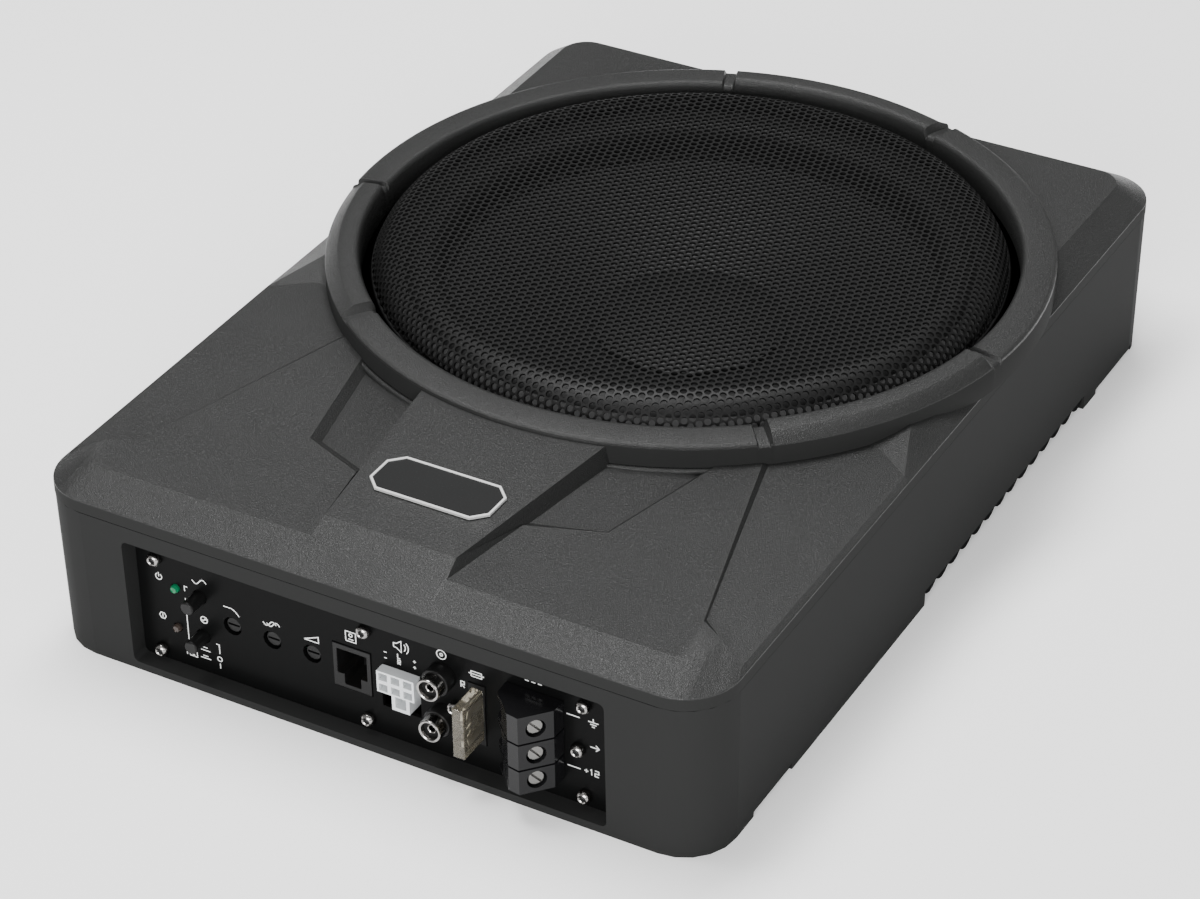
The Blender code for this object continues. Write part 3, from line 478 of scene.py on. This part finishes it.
breaks = np.array([19.75, 20.0, 20.25, 21.9, 22.2])
arc_ends = [(m + s * breaks) % 360 for m in (90, 210, 330) for s in (-1, 1)]
ring_degrees = np.unique(np.round(np.concatenate([np.arange(0, 360, 1.5)] + arc_ends), 3))
ring = swept("ring", ring_profile, ring_degrees)
ring.data.set_sharp_from_angle(angle=math.radians(32))
wear(ring, charcoal_coat, replaces=["grille_ring"])
# The ring's upright outer wall below 71 mm gets the same painted shade.
give_upright_shade(ring, 71.0)

bead = np.array([(128.5, 62.4), (130.1, 62.4), (130.1, 64.3), (129.8, 64.8), (129.2, 65.0),
                 (128.5, 64.9)])
bead_degrees = np.linspace(232, 308, 60)
seat_bead = swept("seat_bead", lambda d: np.broadcast_to(bead, (len(d), *bead.shape)),
                  bead_degrees, closed=False)
wear(seat_bead, charcoal_coat)


# ---- Perforated grille ----
# The grille is a steel sheet punched with staggered round holes, pressed into a shallow dish with
# a rounded shoulder, turned down at the rim and painted black.
pitch, hole_r, sheet = 3.0, 1.22, 0.9
dish_top, shoulder_r, shoulder_bend = 77.0, 98.0, 15.0
bend_end = math.radians(70)
rim_s = shoulder_r + shoulder_bend * bend_end


def dish(flat_x, flat_y, drop):
    """Where a point of the flat sheet ends up: its distance from the middle is kept along the
    pressed profile, and `drop` moves it in under the sheet along the profile's normal."""
    s = np.hypot(flat_x, flat_y)
    turn = np.clip((s - shoulder_r) / shoulder_bend, 0, bend_end)
    bend = shoulder_bend - drop
    r = np.minimum(s, shoulder_r) + bend * np.sin(turn)
    z = dish_top - shoulder_bend + bend * np.cos(turn)
    scale = np.where(s > 1e-9, r / np.maximum(s, 1e-9), 0)
    return np.stack((flat_x * scale, driver_y + flat_y * scale, z), -1)


def perforated(name, cells_x, cells_y, sides=10):
    """A two-sided sheet of hexagonal cells, each with a round hole: top, hole wall, underside."""
    corner = np.radians(np.arange(6) * 60 + lattice_turn + 30)
    around = np.radians(np.arange(sides) * 360 / sides + lattice_turn + 30)
    hex_r = pitch / math.sqrt(3)
    hx = cells_x[:, None] + hex_r * np.cos(corner)
    hy = cells_y[:, None] + hex_r * np.sin(corner)
    ox = cells_x[:, None] + hole_r * np.cos(around)
    oy = cells_y[:, None] + hole_r * np.sin(around)
    far = np.hypot(hx, hy)
    edge = far > rim_s - 1.2
    hx, hy = (np.where(edge, v * rim_s / far, v) for v in (hx, hy))
    n, per = len(cells_x), 2 * (6 + sides)
    grid = np.concatenate([dish(hx, hy, 0), dish(ox, oy, 0), dish(hx, hy, sheet),
                           dish(ox, oy, sheet)], 1)
    hexes, holes = np.arange(6), 6 + np.arange(sides)
    nearest = np.round(np.arange(sides) * 6 / sides).astype(int)
    tris, quads = [], []
    for k in range(sides):
        following = (k + 1) % sides
        a, b = nearest[k] % 6, (nearest[following] if following else 6) % 6
        tris.append((holes[k], hexes[a], holes[following]))
        if a != b:
            tris.append((holes[following], hexes[a], hexes[b]))
        quads.append((holes[k], holes[following], holes[following] + 6 + sides,
                      holes[k] + 6 + sides))
    tris = np.array(tris)
    tris = np.concatenate((tris, tris[:, ::-1] + 6 + sides))
    start = (np.arange(n) * per)[:, None, None]
    faces = list((tris + start).reshape(-1, 3)) + list((np.array(quads) + start).reshape(-1, 4))
    piece = mesh_piece(name, grid.reshape(-1, 3), faces)
    piece.data.set_sharp_from_angle(angle=math.radians(40))
    return piece


lattice_turn = -15.0
steps = np.arange(-60, 61)
i, j = np.meshgrid(steps, steps)
turn = math.radians(lattice_turn)
flat_x = pitch * (i + 0.5 * j)
flat_y = pitch * math.sqrt(0.75) * j
flat_x, flat_y = (flat_x * math.cos(turn) - flat_y * math.sin(turn),
                  flat_x * math.sin(turn) + flat_y * math.cos(turn))
far = np.hypot(flat_x, flat_y)
black_steel = grained("black_steel", (0.006, 0.006, 0.006), 0.45, grain=0.0008, depth=0.00001,
                      tint=0.2, Specular_IOR_Level=0.15)
middle = far <= 84
outer = (far > 84) & (far < rim_s - 0.9)
grille_disc = perforated("grille_disc", flat_x[middle], flat_y[middle])
grille_shoulder = perforated("grille_shoulder", flat_x[outer], flat_y[outer])
rim = np.array([(112.1, 67.13), (112.8, 65.8), (111.9, 65.8), (111.25, 66.8)])
grille_rim = swept("grille_rim", lambda d: np.broadcast_to(rim, (len(d), *rim.shape)),
                   np.arange(0, 360, 2.0))
for piece in (grille_disc, grille_shoulder, grille_rim):
    wear(piece, black_steel, replaces=["grille"])


# ---- Badge ----
# An eight-sided plate pressed onto the spine: a bright frame round a plain dark lacquered field.
badge_low, badge_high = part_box("badge_plate")
badge_y = (badge_low.y + badge_high.y) * 500
badge_x, badge_half, badge_cut, badge_z = 22.4, 10.0, 4.8, badge_low.z * 1000


def octagon(inset):
    """Corners of the badge outline moved in by `inset`, counter-clockwise from the right."""
    x, y, c = badge_x - inset, badge_half - inset, badge_cut - inset * (2 - math.sqrt(2))
    return np.array([(x, c - y), (x, y - c), (x - c, y), (c - x, y), (-x, y - c), (-x, c - y),
                     (c - x, -y), (x - c, -y)])


frame_rows = [(0, 0), (0, 0.75), (0.15, 0.9), (0.75, 0.9), (0.9, 0.75), (0.9, 0.45)]
frame_grid = [np.column_stack((octagon(inset) + (0, badge_y), np.full(8, badge_z + rise)))
              for inset, rise in frame_rows]
badge_faces = list(grid_faces(len(frame_rows), 8, wrap_columns=True))
badge = mesh_piece("badge_frame", np.concatenate(frame_grid), badge_faces + [np.arange(8)[::-1]],
                   smooth=False)
field = mesh_piece("badge_field", frame_grid[-1] + (0, 0, 0.1), [np.arange(8)], smooth=False)
bright_silver = grained("bright_silver", (0.86, 0.86, 0.85), 0.34, grain=0.0004, depth=0.000004,
                        tint=0.06, metallic=0.6)
black_lacquer = grained("black_lacquer", (0.0175, 0.0178, 0.0178), 0.25, grain=0.0006,
                        depth=0.000004, tint=0.2, Specular_IOR_Level=0.08)
wear(badge, bright_silver, replaces=["badge_plate"])
wear(field, black_lacquer, replaces=["badge_plate"])


# ---- Connection panel ----
# A black lacquered aluminium plate screwed to the ledge in the case, silk-screened in white with
# symbols: plain strokes stand beside each control and connector.
panel_paint = grained("panel_paint", (0.0032, 0.0033, 0.0033), 0.32, grain=0.0005, depth=0.000006,
                      tint=0.15, spread=0.05, Specular_IOR_Level=0.04)
wear(nodes["control_panel"], panel_paint)
panel_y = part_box("control_panel")[0].y * 1000


def round_stroke(x, z, radius, start=0, end=360, count=16):
    """A stroke along a circle, in panel coordinates."""
    a = np.radians(np.linspace(start, end, count))
    return np.column_stack((x + radius * np.cos(a), z + radius * np.sin(a)))


def wave(x, z, width, height, turns=1.0):
    """One stroke along a sine wave centred on (x, z)."""
    t = np.linspace(-0.5, 0.5, 17)
    return np.column_stack((x + width * t, z + height * np.sin(2 * np.pi * turns * t)))


def figure(text, x, z, tall=2.0):
    """Strokes for figures and signs, each in a cell as tall as `tall` and two thirds as wide."""
    shapes = {"0": [[(0, 0), (0, 1), (.6, 1), (.6, 0), (0, 0)]], "1": [[(.1, .8), (.3, 1), (.3, 0)]],
              "2": [[(0, 1), (.6, 1), (.6, .5), (0, .5), (0, 0), (.6, 0)]],
              "8": [[(0, 0), (0, 1), (.6, 1), (.6, 0), (0, 0)], [(0, .5), (.6, .5)]],
              "L": [[(0, 1), (0, 0), (.55, 0)]], "+": [[(0, .5), (.6, .5)], [(.3, .2), (.3, .8)]],
              "R": [[(0, 0), (0, 1), (.55, 1), (.55, .5), (0, .5), (.6, 0)]],
              "-": [[(0, .5), (.6, .5)]]}
    return [np.array(stroke) * tall + (x + 0.85 * tall * place, z)
            for place, letter in enumerate(text) for stroke in shapes[letter]]


def ribbon(stroke, width):
    """Four-cornered links along a stroke: each point is moved sideways by half the width, square
    to the average of its two directions."""
    stroke = np.asarray(stroke, float)
    step = np.diff(stroke, axis=0)
    step /= np.linalg.norm(step, axis=1)[:, None]
    ahead = np.concatenate((step, step[-1:]))
    behind = np.concatenate((step[:1], step))
    mean = ahead + behind
    mean /= np.linalg.norm(mean, axis=1)[:, None]
    reach = width / 2 / np.maximum(0.5, (mean * ahead).sum(1))[:, None]
    side = np.column_stack((-mean[:, 1], mean[:, 0])) * reach
    return np.concatenate((stroke + side, stroke - side))


jack_x = -7.4
strokes = [
    round_stroke(-81.4, 36.3, 1.2, 120, 420), [(-81.4, 36.3), (-81.4, 38.0)],
    round_stroke(-81.2, 20.6, 1.3, 0, 360, 7), [(-81.2, 19.9), (-81.2, 21.3)],
    wave(-65.3, 39.6, 5.6, 1.1), round_stroke(-64.6, 24.6, 1.3), wave(-64.6, 24.6, 1.8, 0.5),
    [(-70.2, 35.8), (-71.4, 35.8), (-71.4, 33.8)], [(-71.4, 31.0), (-71.4, 14.4)],
    [(-60.6, 16.3), (-59.4, 16.3), (-59.4, 12.6)],
    [(-67.2, 12.0), (-63.2, 12.0)], [(-66.2, 13.2), (-64.2, 13.2)],
    [(-67.2, 8.8), (-63.2, 8.8)], [(-66.2, 9.7), (-64.2, 9.7)],
    round_stroke(-59.6, 10.4, 0.9), [(-59.6, 8.6), (-59.6, 6.6)],
    [(-56.4, 33.2), (-53.2, 33.2), (-51.8, 32.4), (-50.4, 30.8)],
    wave(-38.6, 32.4, 5.0, 1.0), wave(-37.2, 32.4, 5.0, 1.0),
    [(-25.6, 31.2), (-20.0, 31.2), (-20.0, 33.6), (-25.6, 31.2)],
    [(-9.4, 36.4), (-5.6, 36.4), (-5.6, 40.2), (-9.4, 40.2), (-9.4, 36.4)],
    round_stroke(-7.5, 38.9, 0.6), [(-8.5, 37.3), (-6.5, 37.3)],
    [(8.6, 40.4), (9.6, 40.4), (11.4, 39.0), (11.4, 43.4), (9.6, 42.0), (8.6, 42.0), (8.6, 40.4)],
    round_stroke(11.2, 41.2, 1.8, -45, 45, 7), round_stroke(11.2, 41.2, 2.9, -45, 45, 9),
    round_stroke(26.2, 43.6, 1.7), round_stroke(26.2, 43.6, 0.5, count=9),
    [(36.0, 40.3), (41.6, 40.3)],
    [(36.9, 39.3), (40.7, 39.3), (40.7, 41.3), (36.9, 41.3), (36.9, 39.3)],
    [(56.4, 46.6), (62.4, 46.6)], [(56.4, 45.0), (57.8, 45.0)], [(58.7, 45.0), (60.1, 45.0)],
    [(61.0, 45.0), (62.4, 45.0)],
    [(71.0, 37.4), (75.6, 37.4)], [(71.0, 17.2), (75.6, 17.2)],
    [(80.4, 38.6), (80.4, 37.2)], [(78.6, 37.2), (82.2, 37.2)], [(79.3, 36.3), (81.5, 36.3)],
    [(79.9, 35.4), (80.9, 35.4)],
    [(79.2, 27.4), (82.4, 27.4)], [(81.2, 28.5), (82.4, 27.4), (81.2, 26.3)],
    *figure("0", -71.4, 10.9), *figure("180", -73.2, 7.9), *figure("L", 9.9, 36.3, 1.7),
    *figure("R", 9.9, 33.9, 1.7), *figure("+", 15.6, 36.2, 1.7), *figure("+", 15.6, 33.9, 1.7),
    *figure("-", 4.8, 36.2, 1.7), *figure("-", 4.8, 33.9, 1.7), *figure("R", 33.0, 33.6, 2.3),
    *figure("L", 33.0, 15.2, 2.3), *figure("+12", 77.0, 16.2, 2.2),
]
print_points, print_faces = [], []
for stroke in strokes:
    flat = ribbon(stroke, 0.34)
    print_faces += list(grid_faces(2, len(stroke)) + sum(len(p) for p in print_points))
    print_points.append(np.column_stack((flat[:, 0], np.full(len(flat), panel_y - 0.06),
                                         flat[:, 1])))
symbols = mesh_piece("panel_symbols", np.concatenate(print_points), print_faces, smooth=False)
ink = symbols.modifiers.new("ink", "SOLIDIFY")
ink.thickness, ink.offset = 0.00005, 0
white_ink = grained("white_ink", (0.74, 0.75, 0.74), 0.5, grain=0.0002, depth=0.000004, tint=0.06)
wear(symbols, white_ink)


# ---- Panel screws ----
# Nickel-plated steel socket screws hold the panel to the ledge, each with a rounded head. The
# walls of each hex socket are given a dark material: painted shade in the recess.
def socket_radius(angle, across):
    """Radius of a hexagon's edge at an angle, for a hexagon `across` its flats."""
    return across / 2 / np.cos((angle + np.pi / 6) % (np.pi / 3) - np.pi / 6)


nickel = grained("nickel", (0.33, 0.32, 0.31), 0.20, grain=0.0003, depth=0.000005, tint=0.14,
                 metallic=1.0)
# Painted shade for the inside of the hex sockets.
socket_painted_shade = grained("socket_painted_shade", (0.03, 0.03, 0.03), 0.5, grain=0.0003, depth=0.00001)
head = np.array([(2.45, 0.0), (2.5, 0.9), (2.35, 1.6), (1.95, 2.15), (1.5, 2.4), (1.25, 2.3),
                 (1.15, 2.1), (1.1, 0.9), (0.55, 0.7)])
around = np.radians(np.arange(36) * 10.0)
for number in range(1, 9):
    name = "panel_screw_%d" % number
    low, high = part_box(name)
    middle = (low + high) * 500
    r = np.repeat(head[:, :1], 36, 1)
    r[6:8] = socket_radius(around, 2.0)
    out = np.repeat(head[:, 1:], 36, 1)
    grid = np.stack((middle.x + r * np.cos(around), panel_y - 0.3 - out,
                     middle.z + r * np.sin(around)), -1)
    faces = list(grid_faces(len(head), 36, wrap_columns=True))
    faces.append(np.arange(36) + 36 * (len(head) - 1))
    faces.append(np.arange(36)[::-1])
    screw = mesh_piece("screw_head_%d" % number, grid.reshape(-1, 3), faces)
    screw.data.set_sharp_from_angle(angle=math.radians(38))
    wear(screw, nickel, replaces=[name])
    screw.data.materials.append(socket_painted_shade)
    painted_shade_faces = np.zeros(len(screw.data.polygons), dtype=np.int32)
    painted_shade_faces[36 * 6:36 * 8 + 1] = 1
    screw.data.polygons.foreach_set("material_index", painted_shade_faces)


# ---- Lamps, push buttons and trimmers ----
# Two small moulded lamps, two black latching buttons that stand out of the panel, and three
# slotted trimmers set back in round holes.
moulded_black = grained("moulded_black", (0.0055, 0.0055, 0.0055), 0.36, grain=0.0005,
                        depth=0.000012, tint=0.2, Specular_IOR_Level=0.2)
dull_black = grained("dull_black", (0.005, 0.005, 0.005), 0.55, grain=0.0006, depth=0.00002,
                     tint=0.2, Specular_IOR_Level=0.15)
green_resin = grained("green_resin", (0.005, 0.12, 0.05), 0.12, grain=0.0008, depth=0.000004,
                      Emission_Color=(0.0, 0.4, 0.16, 1), Emission_Strength=0.08)
clear_resin = grained("clear_resin", (0.035, 0.026, 0.022), 0.12, grain=0.0008, depth=0.000004)
wear(nodes["power_lamp"], green_resin)
wear(nodes["protect_lamp"], clear_resin)
for name in ("phase", "auto_remote"):
    wear(softened(name + "_button", name + "_cap", 0.00025, smooth=50), moulded_black,
         body=name + "_plunger", replaces=[name + "_button"])
    wear(nodes[name + "_switch"], dull_black)
for name in ("low_pass", "phase_shift", "input_level"):
    wear(nodes[name + "_shaft"], moulded_black)
    wear(nodes[name + "_pot"], dull_black)


# ---- Remote jack and speaker-level header ----
# The modular jack is black nylon with gilt spring contacts, and the header is milky white nylon.
wear(softened("remote_jack", "jack_shell", 0.0002), moulded_black,
     replaces=["remote_jack"])
contact_x = np.linspace(jack_x - 3.0, jack_x + 3.0, 6)
contact_path = np.array([(panel_y + 2.0, 30.6), (panel_y + 3.4, 30.4), (panel_y + 8.6, 26.2),
                         (panel_y + 9.2, 25.6)])
corners = np.array([(-0.22, 0.0), (0.22, 0.0), (0.22, -0.3), (-0.22, -0.3)])
contact_grid, contact_faces = [], []
for x in contact_x:
    grid = np.stack([np.column_stack((x + corners[:, 0], np.full(4, y), z + corners[:, 1]))
                     for y, z in contact_path])
    start = 16 * len(contact_grid)
    contact_faces += list(grid_faces(4, 4, wrap_columns=True) + start)
    contact_faces += [np.arange(4)[::-1] + start, np.arange(4) + start + 12]
    contact_grid.append(grid.reshape(-1, 3))
contacts = mesh_piece("jack_contacts", np.concatenate(contact_grid), contact_faces, smooth=False)
gilt = grained("gilt", (0.75, 0.55, 0.25), 0.25, grain=0.0003, depth=0.000004, metallic=1.0)
wear(contacts, gilt)
milky_nylon = grained("milky_nylon", (0.62, 0.64, 0.65), 0.38, grain=0.0008, depth=0.00001,
                      tint=0.05)
wear(nodes["highlevel_socket"], milky_nylon)


# ---- Line-input jacks ----
# Each nickel barrel has a rolled front lip, stands in a black insulating sleeve, and holds a dark
# insulator with a bright centre contact.
def barrel_piece(name, profile, x, z, count=48):
    """A (radius, distance out of the panel) profile turned about an axis square to the panel."""
    profile = np.array(profile)
    a = np.radians(np.arange(count) * 360.0 / count)
    r, out = profile[:, :1], profile[:, 1:]
    grid = np.stack((x + r * np.cos(a), panel_y - out + 0 * a, z + r * np.sin(a)), -1)
    faces = list(grid_faces(len(profile), count, wrap_rows=True, wrap_columns=True))
    piece = mesh_piece(name, grid.reshape(-1, 3), faces)
    piece.data.set_sharp_from_angle(angle=math.radians(35))
    return piece


for side in ("right", "left"):
    low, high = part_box(side + "_input_barrel")
    x, z = (low.x + high.x) * 500, (low.z + high.z) * 500
    barrel = barrel_piece(side + "_barrel", [(2.8, 0.5), (4.15, 0.5), (4.15, 8.2), (4.1, 8.7),
                                             (3.85, 9.05), (3.5, 9.1), (3.2, 8.9), (3.1, 8.5),
                                             (3.1, 4.0), (2.8, 4.0)], x, z)
    wear(barrel, nickel, replaces=[side + "_input_barrel"])
    sleeve = barrel_piece(side + "_sleeve", [(4.2, 0.05), (4.95, 0.05), (4.95, 4.3), (4.75, 4.7),
                                             (4.2, 4.8)], x, z)
    wear(sleeve, moulded_black, replaces=[side + "_input_barrel"])
    core = barrel_piece(side + "_core", [(1.75, 1.0), (3.08, 1.0), (3.08, 7.0), (1.75, 7.0)], x, z)
    wear(core, dull_black)
    contact = barrel_piece(side + "_contact", [(1.2, 1.0), (1.72, 1.0), (1.72, 7.3), (1.5, 7.5),
                                               (1.2, 7.3)], x, z)
    wear(contact, nickel)
wear(nodes["rca_block"], dull_black)


# ---- Fuse and its holder ----
# A blade fuse of smoky clear resin with its metal link visible inside, pushed into a black holder.
wear(nodes["fuse_holder"], dull_black)
smoky, shader, wire, place = blank_finish("smoky_resin", 0.06, Transmission_Weight=0.88, IOR=1.35)
haze = noise(wire, place, 0.003, 3.0)
feed(smoky, shader, "Base Color", wire.node("ValToRGB", {"stops": [
    (0.3, (0.40, 0.36, 0.28, 1)), (0.7, (0.62, 0.58, 0.48, 1))]}, {"Fac": haze}))
feed(smoky, shader, "Normal", wire.node("Bump", {}, {"Height": haze, "Distance": 0.00002}))
fuse = softened("fuse", "fuse_body", 0.0007, segments=3)
wear(fuse, smoky, body="fuse_link", replaces=["fuse"])
fuse_low, fuse_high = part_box("fuse")
fuse_x, fuse_z = (fuse_low.x + fuse_high.x) * 500, (fuse_low.z + fuse_high.z) * 500
link_path = np.array([(1.5, -5.0), (-8.0, -5.0), (-8.6, -3.2), (-5.2, -1.6), (-8.8, 0.0),
                      (-5.2, 1.6), (-8.6, 3.2), (-8.0, 5.0), (1.5, 5.0)])
link_wide = np.array([1.6, 1.6, 0.8, 0.5, 0.5, 0.5, 0.8, 1.6, 1.6])
link_rows = [np.column_stack((fuse_x + dx + 0 * link_wide, panel_y + link_path[:, 0],
                              fuse_z + link_path[:, 1] + dz * link_wide))
             for dx, dz in ((-0.3, -1), (-0.3, 1), (0.3, 1), (0.3, -1))]
link_faces = list(grid_faces(4, 9, wrap_rows=True))
link_faces += [np.array([0, 9, 18, 27]), np.array([35, 26, 17, 8])]
link = mesh_piece("fuse_strip", np.concatenate(link_rows), link_faces, smooth=False)
wear(link, grained("zinc_strip", (0.55, 0.54, 0.5), 0.3, grain=0.0004, depth=0.000005,
                   metallic=1.0), body="fuse_link")


# ---- Supply terminal block ----
# A glossy black moulding in three cells with a groove between neighbours. Wires enter at the left
# and are clamped by slotted screws seen in round wells in the sloping face.
block = softened("terminal_block", "terminal_cells", 0.0)
block_mesh = bmesh.new()
block_mesh.from_mesh(block.data)
groove_half = 0.00035
for level in (0.0213, 0.0314):
    for z in (level - groove_half, level + groove_half):
        bmesh.ops.bisect_plane(block_mesh, geom=block_mesh.faces[:] + block_mesh.edges[:]
                               + block_mesh.verts[:], plane_co=(0, 0, z), plane_no=(0, 0, 1))
    wall = [f for f in block_mesh.faces if abs(f.calc_center_median().z - level) < groove_half
            and abs(f.normal.z) < 0.5 and f.calc_center_median().y < panel_y * 0.001 - 0.0003]
    bmesh.ops.inset_region(block_mesh, faces=wall, thickness=0.0, depth=-0.0007,
                           use_even_offset=True)
block_mesh.to_mesh(block.data)
block_mesh.free()
block.data.shade_smooth()
block.data.set_sharp_from_angle(angle=math.radians(25))
edges = block.modifiers.new("edges", "BEVEL")
edges.width, edges.segments, edges.limit_method = 0.00035, 2, "ANGLE"
edges.angle_limit = math.radians(28)
glossy_black = grained("glossy_black", (0.0065, 0.0065, 0.007), 0.18, grain=0.0012, depth=0.00001,
                       tint=0.2, Specular_IOR_Level=0.2)
wear(block, glossy_black, replaces=["terminal_block"])
clamp_steel = grained("clamp_steel", (0.19, 0.187, 0.18), 0.2, grain=0.0006, depth=0.00008,
                      tint=0.2, metallic=1.0)
for name in ("supply_screw", "remote_screw", "ground_screw"):
    wear(nodes[name], clamp_steel)


# ---- Amplifier inside ----
# A green circuit board with two capacitors, a copper-wound choke and an aluminium clamp bar.
board_finish = grained("board_lacquer", (0.015, 0.09, 0.04), 0.35, grain=0.001, depth=0.00002)
sleeve_finish = grained("capacitor_sleeve", (0.02, 0.02, 0.025), 0.3, grain=0.001, depth=0.00001)
winding = grained("copper_winding", (0.72, 0.32, 0.15), 0.35, grain=0.0006, depth=0.00006,
                  metallic=1.0, stretch=(1, 1, 0.3))
mill_finish = grained("mill_aluminium", (0.5, 0.5, 0.5), 0.4, grain=0.0004, depth=0.00001,
                      metallic=1.0, stretch=(0.1, 1, 1))
wear(nodes["amplifier_board"], board_finish)
wear(nodes["supply_capacitor_1"], sleeve_finish)
wear(nodes["supply_capacitor_2"], sleeve_finish)
wear(nodes["power_choke"], winding)
wear(nodes["transistor_clamp"], mill_finish)


# ---- Driver ----
# A slim loudspeaker: a pressed black basket with a ferrite motor, and a black pulp cone hung from
# a rubber half roll at its rim and a woven, corrugated spider at its neck.
basket_paint = grained("basket_paint", (0.010, 0.010, 0.010), 0.45, grain=0.0008, depth=0.00002)
zinc_plate = grained("zinc_plate", (0.45, 0.45, 0.43), 0.35, grain=0.0006, depth=0.00001,
                     metallic=1.0)
ferrite = grained("ferrite", (0.02, 0.02, 0.021), 0.6, grain=0.0009, depth=0.00004, tint=0.3)
black_pulp = grained("black_pulp", (0.016, 0.016, 0.017), 0.55, grain=0.0012, depth=0.00009,
                     tint=0.35, stretch=(1, 0.4, 1))
wear(nodes["basket"], basket_paint)
for name in ("top_plate", "yoke"):
    wear(nodes[name], zinc_plate)
wear(nodes["magnet"], ferrite)
wear(nodes["voice_coil"], winding)
all_round = np.arange(0, 360, 3.0)


def turned_piece(name, profile):
    """A closed (radius, height) profile turned about the driver axis."""
    profile = np.array(profile)
    piece = swept(name, lambda d: np.broadcast_to(profile, (len(d), *profile.shape)), all_round)
    piece.data.set_sharp_from_angle(angle=math.radians(50))
    return piece


cone = turned_piece("cone_body", [(24.4, 33.6), (26.4, 33.6), (55.0, 44.4), (84.0, 56.4),
                                  (86.6, 56.6), (86.6, 58.0), (83.6, 58.0), (55.0, 46.6),
                                  (24.4, 34.8)])
wear(cone, black_pulp, body="moving_assembly", replaces=["cone"])
cap_r = np.linspace(0.4, 34.6, 14)
cap_top = 45.8 - 5.4 * (cap_r / 34.6) ** 2.2
cap = turned_piece("cap_dome", np.concatenate((np.column_stack((cap_r, cap_top)),
                                               np.column_stack((cap_r, cap_top - 1.0))[::-1])))
wear(cap, black_pulp, body="moving_assembly", replaces=["dust_cap"])


def hang(piece):
    """Bakes a suspension part's placement into its mesh and reads its points into an array;
    nothing makes it follow the coil or the basket."""
    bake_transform(piece)
    flat = np.empty(len(piece.data.vertices) * 3)
    piece.data.vertices.foreach_get("co", flat)


roll = np.radians(np.linspace(180, 0, 13))
roll_top = np.column_stack((94 + 6.8 * np.cos(roll), 64.6 + 5.6 * np.sin(roll)))
roll_under = np.column_stack((94 + 5.9 * np.cos(roll), 64.6 + 4.7 * np.sin(roll)))[::-1]
surround = turned_piece("surround_roll", np.concatenate((
    [(84.8, 59.2), (87.2, 59.4)], roll_top, [(108.8, 65.4), (108.8, 64.6)], roll_under[1:-1],
    [(88.1, 58.6), (84.8, 58.3)])))
surround.data.materials.append(grained("rubber", (0.010, 0.010, 0.010), 0.6, grain=0.0008,
                                       depth=0.00002))
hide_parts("surround")
hang(surround)
spider_r = np.linspace(26.4, 59.4, 34)
sag = np.interp(spider_r, [26.4, 40, 48, 54, 59.4], [31.4, 32.1, 30.6, 26.8, 26.4])
spider_z = sag + 0.35 * np.sin((spider_r - 26.4) / 33.0 * 14 * np.pi)
spider = turned_piece("spider_disc", np.concatenate((
    np.column_stack((spider_r, spider_z - 0.6)), np.column_stack((spider_r, spider_z))[::-1])))
spider.data.materials.append(grained("spider_cloth", (0.42, 0.30, 0.12), 0.85, grain=0.0005,
                                     depth=0.00008))
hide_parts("spider")
hang(spider)


# ---- Base screws ----
# Four zinc-plated screws come up through the base plate into the cover's posts.
for number in range(1, 5):
    wear(nodes["base_screw_%d" % number], zinc_plate)
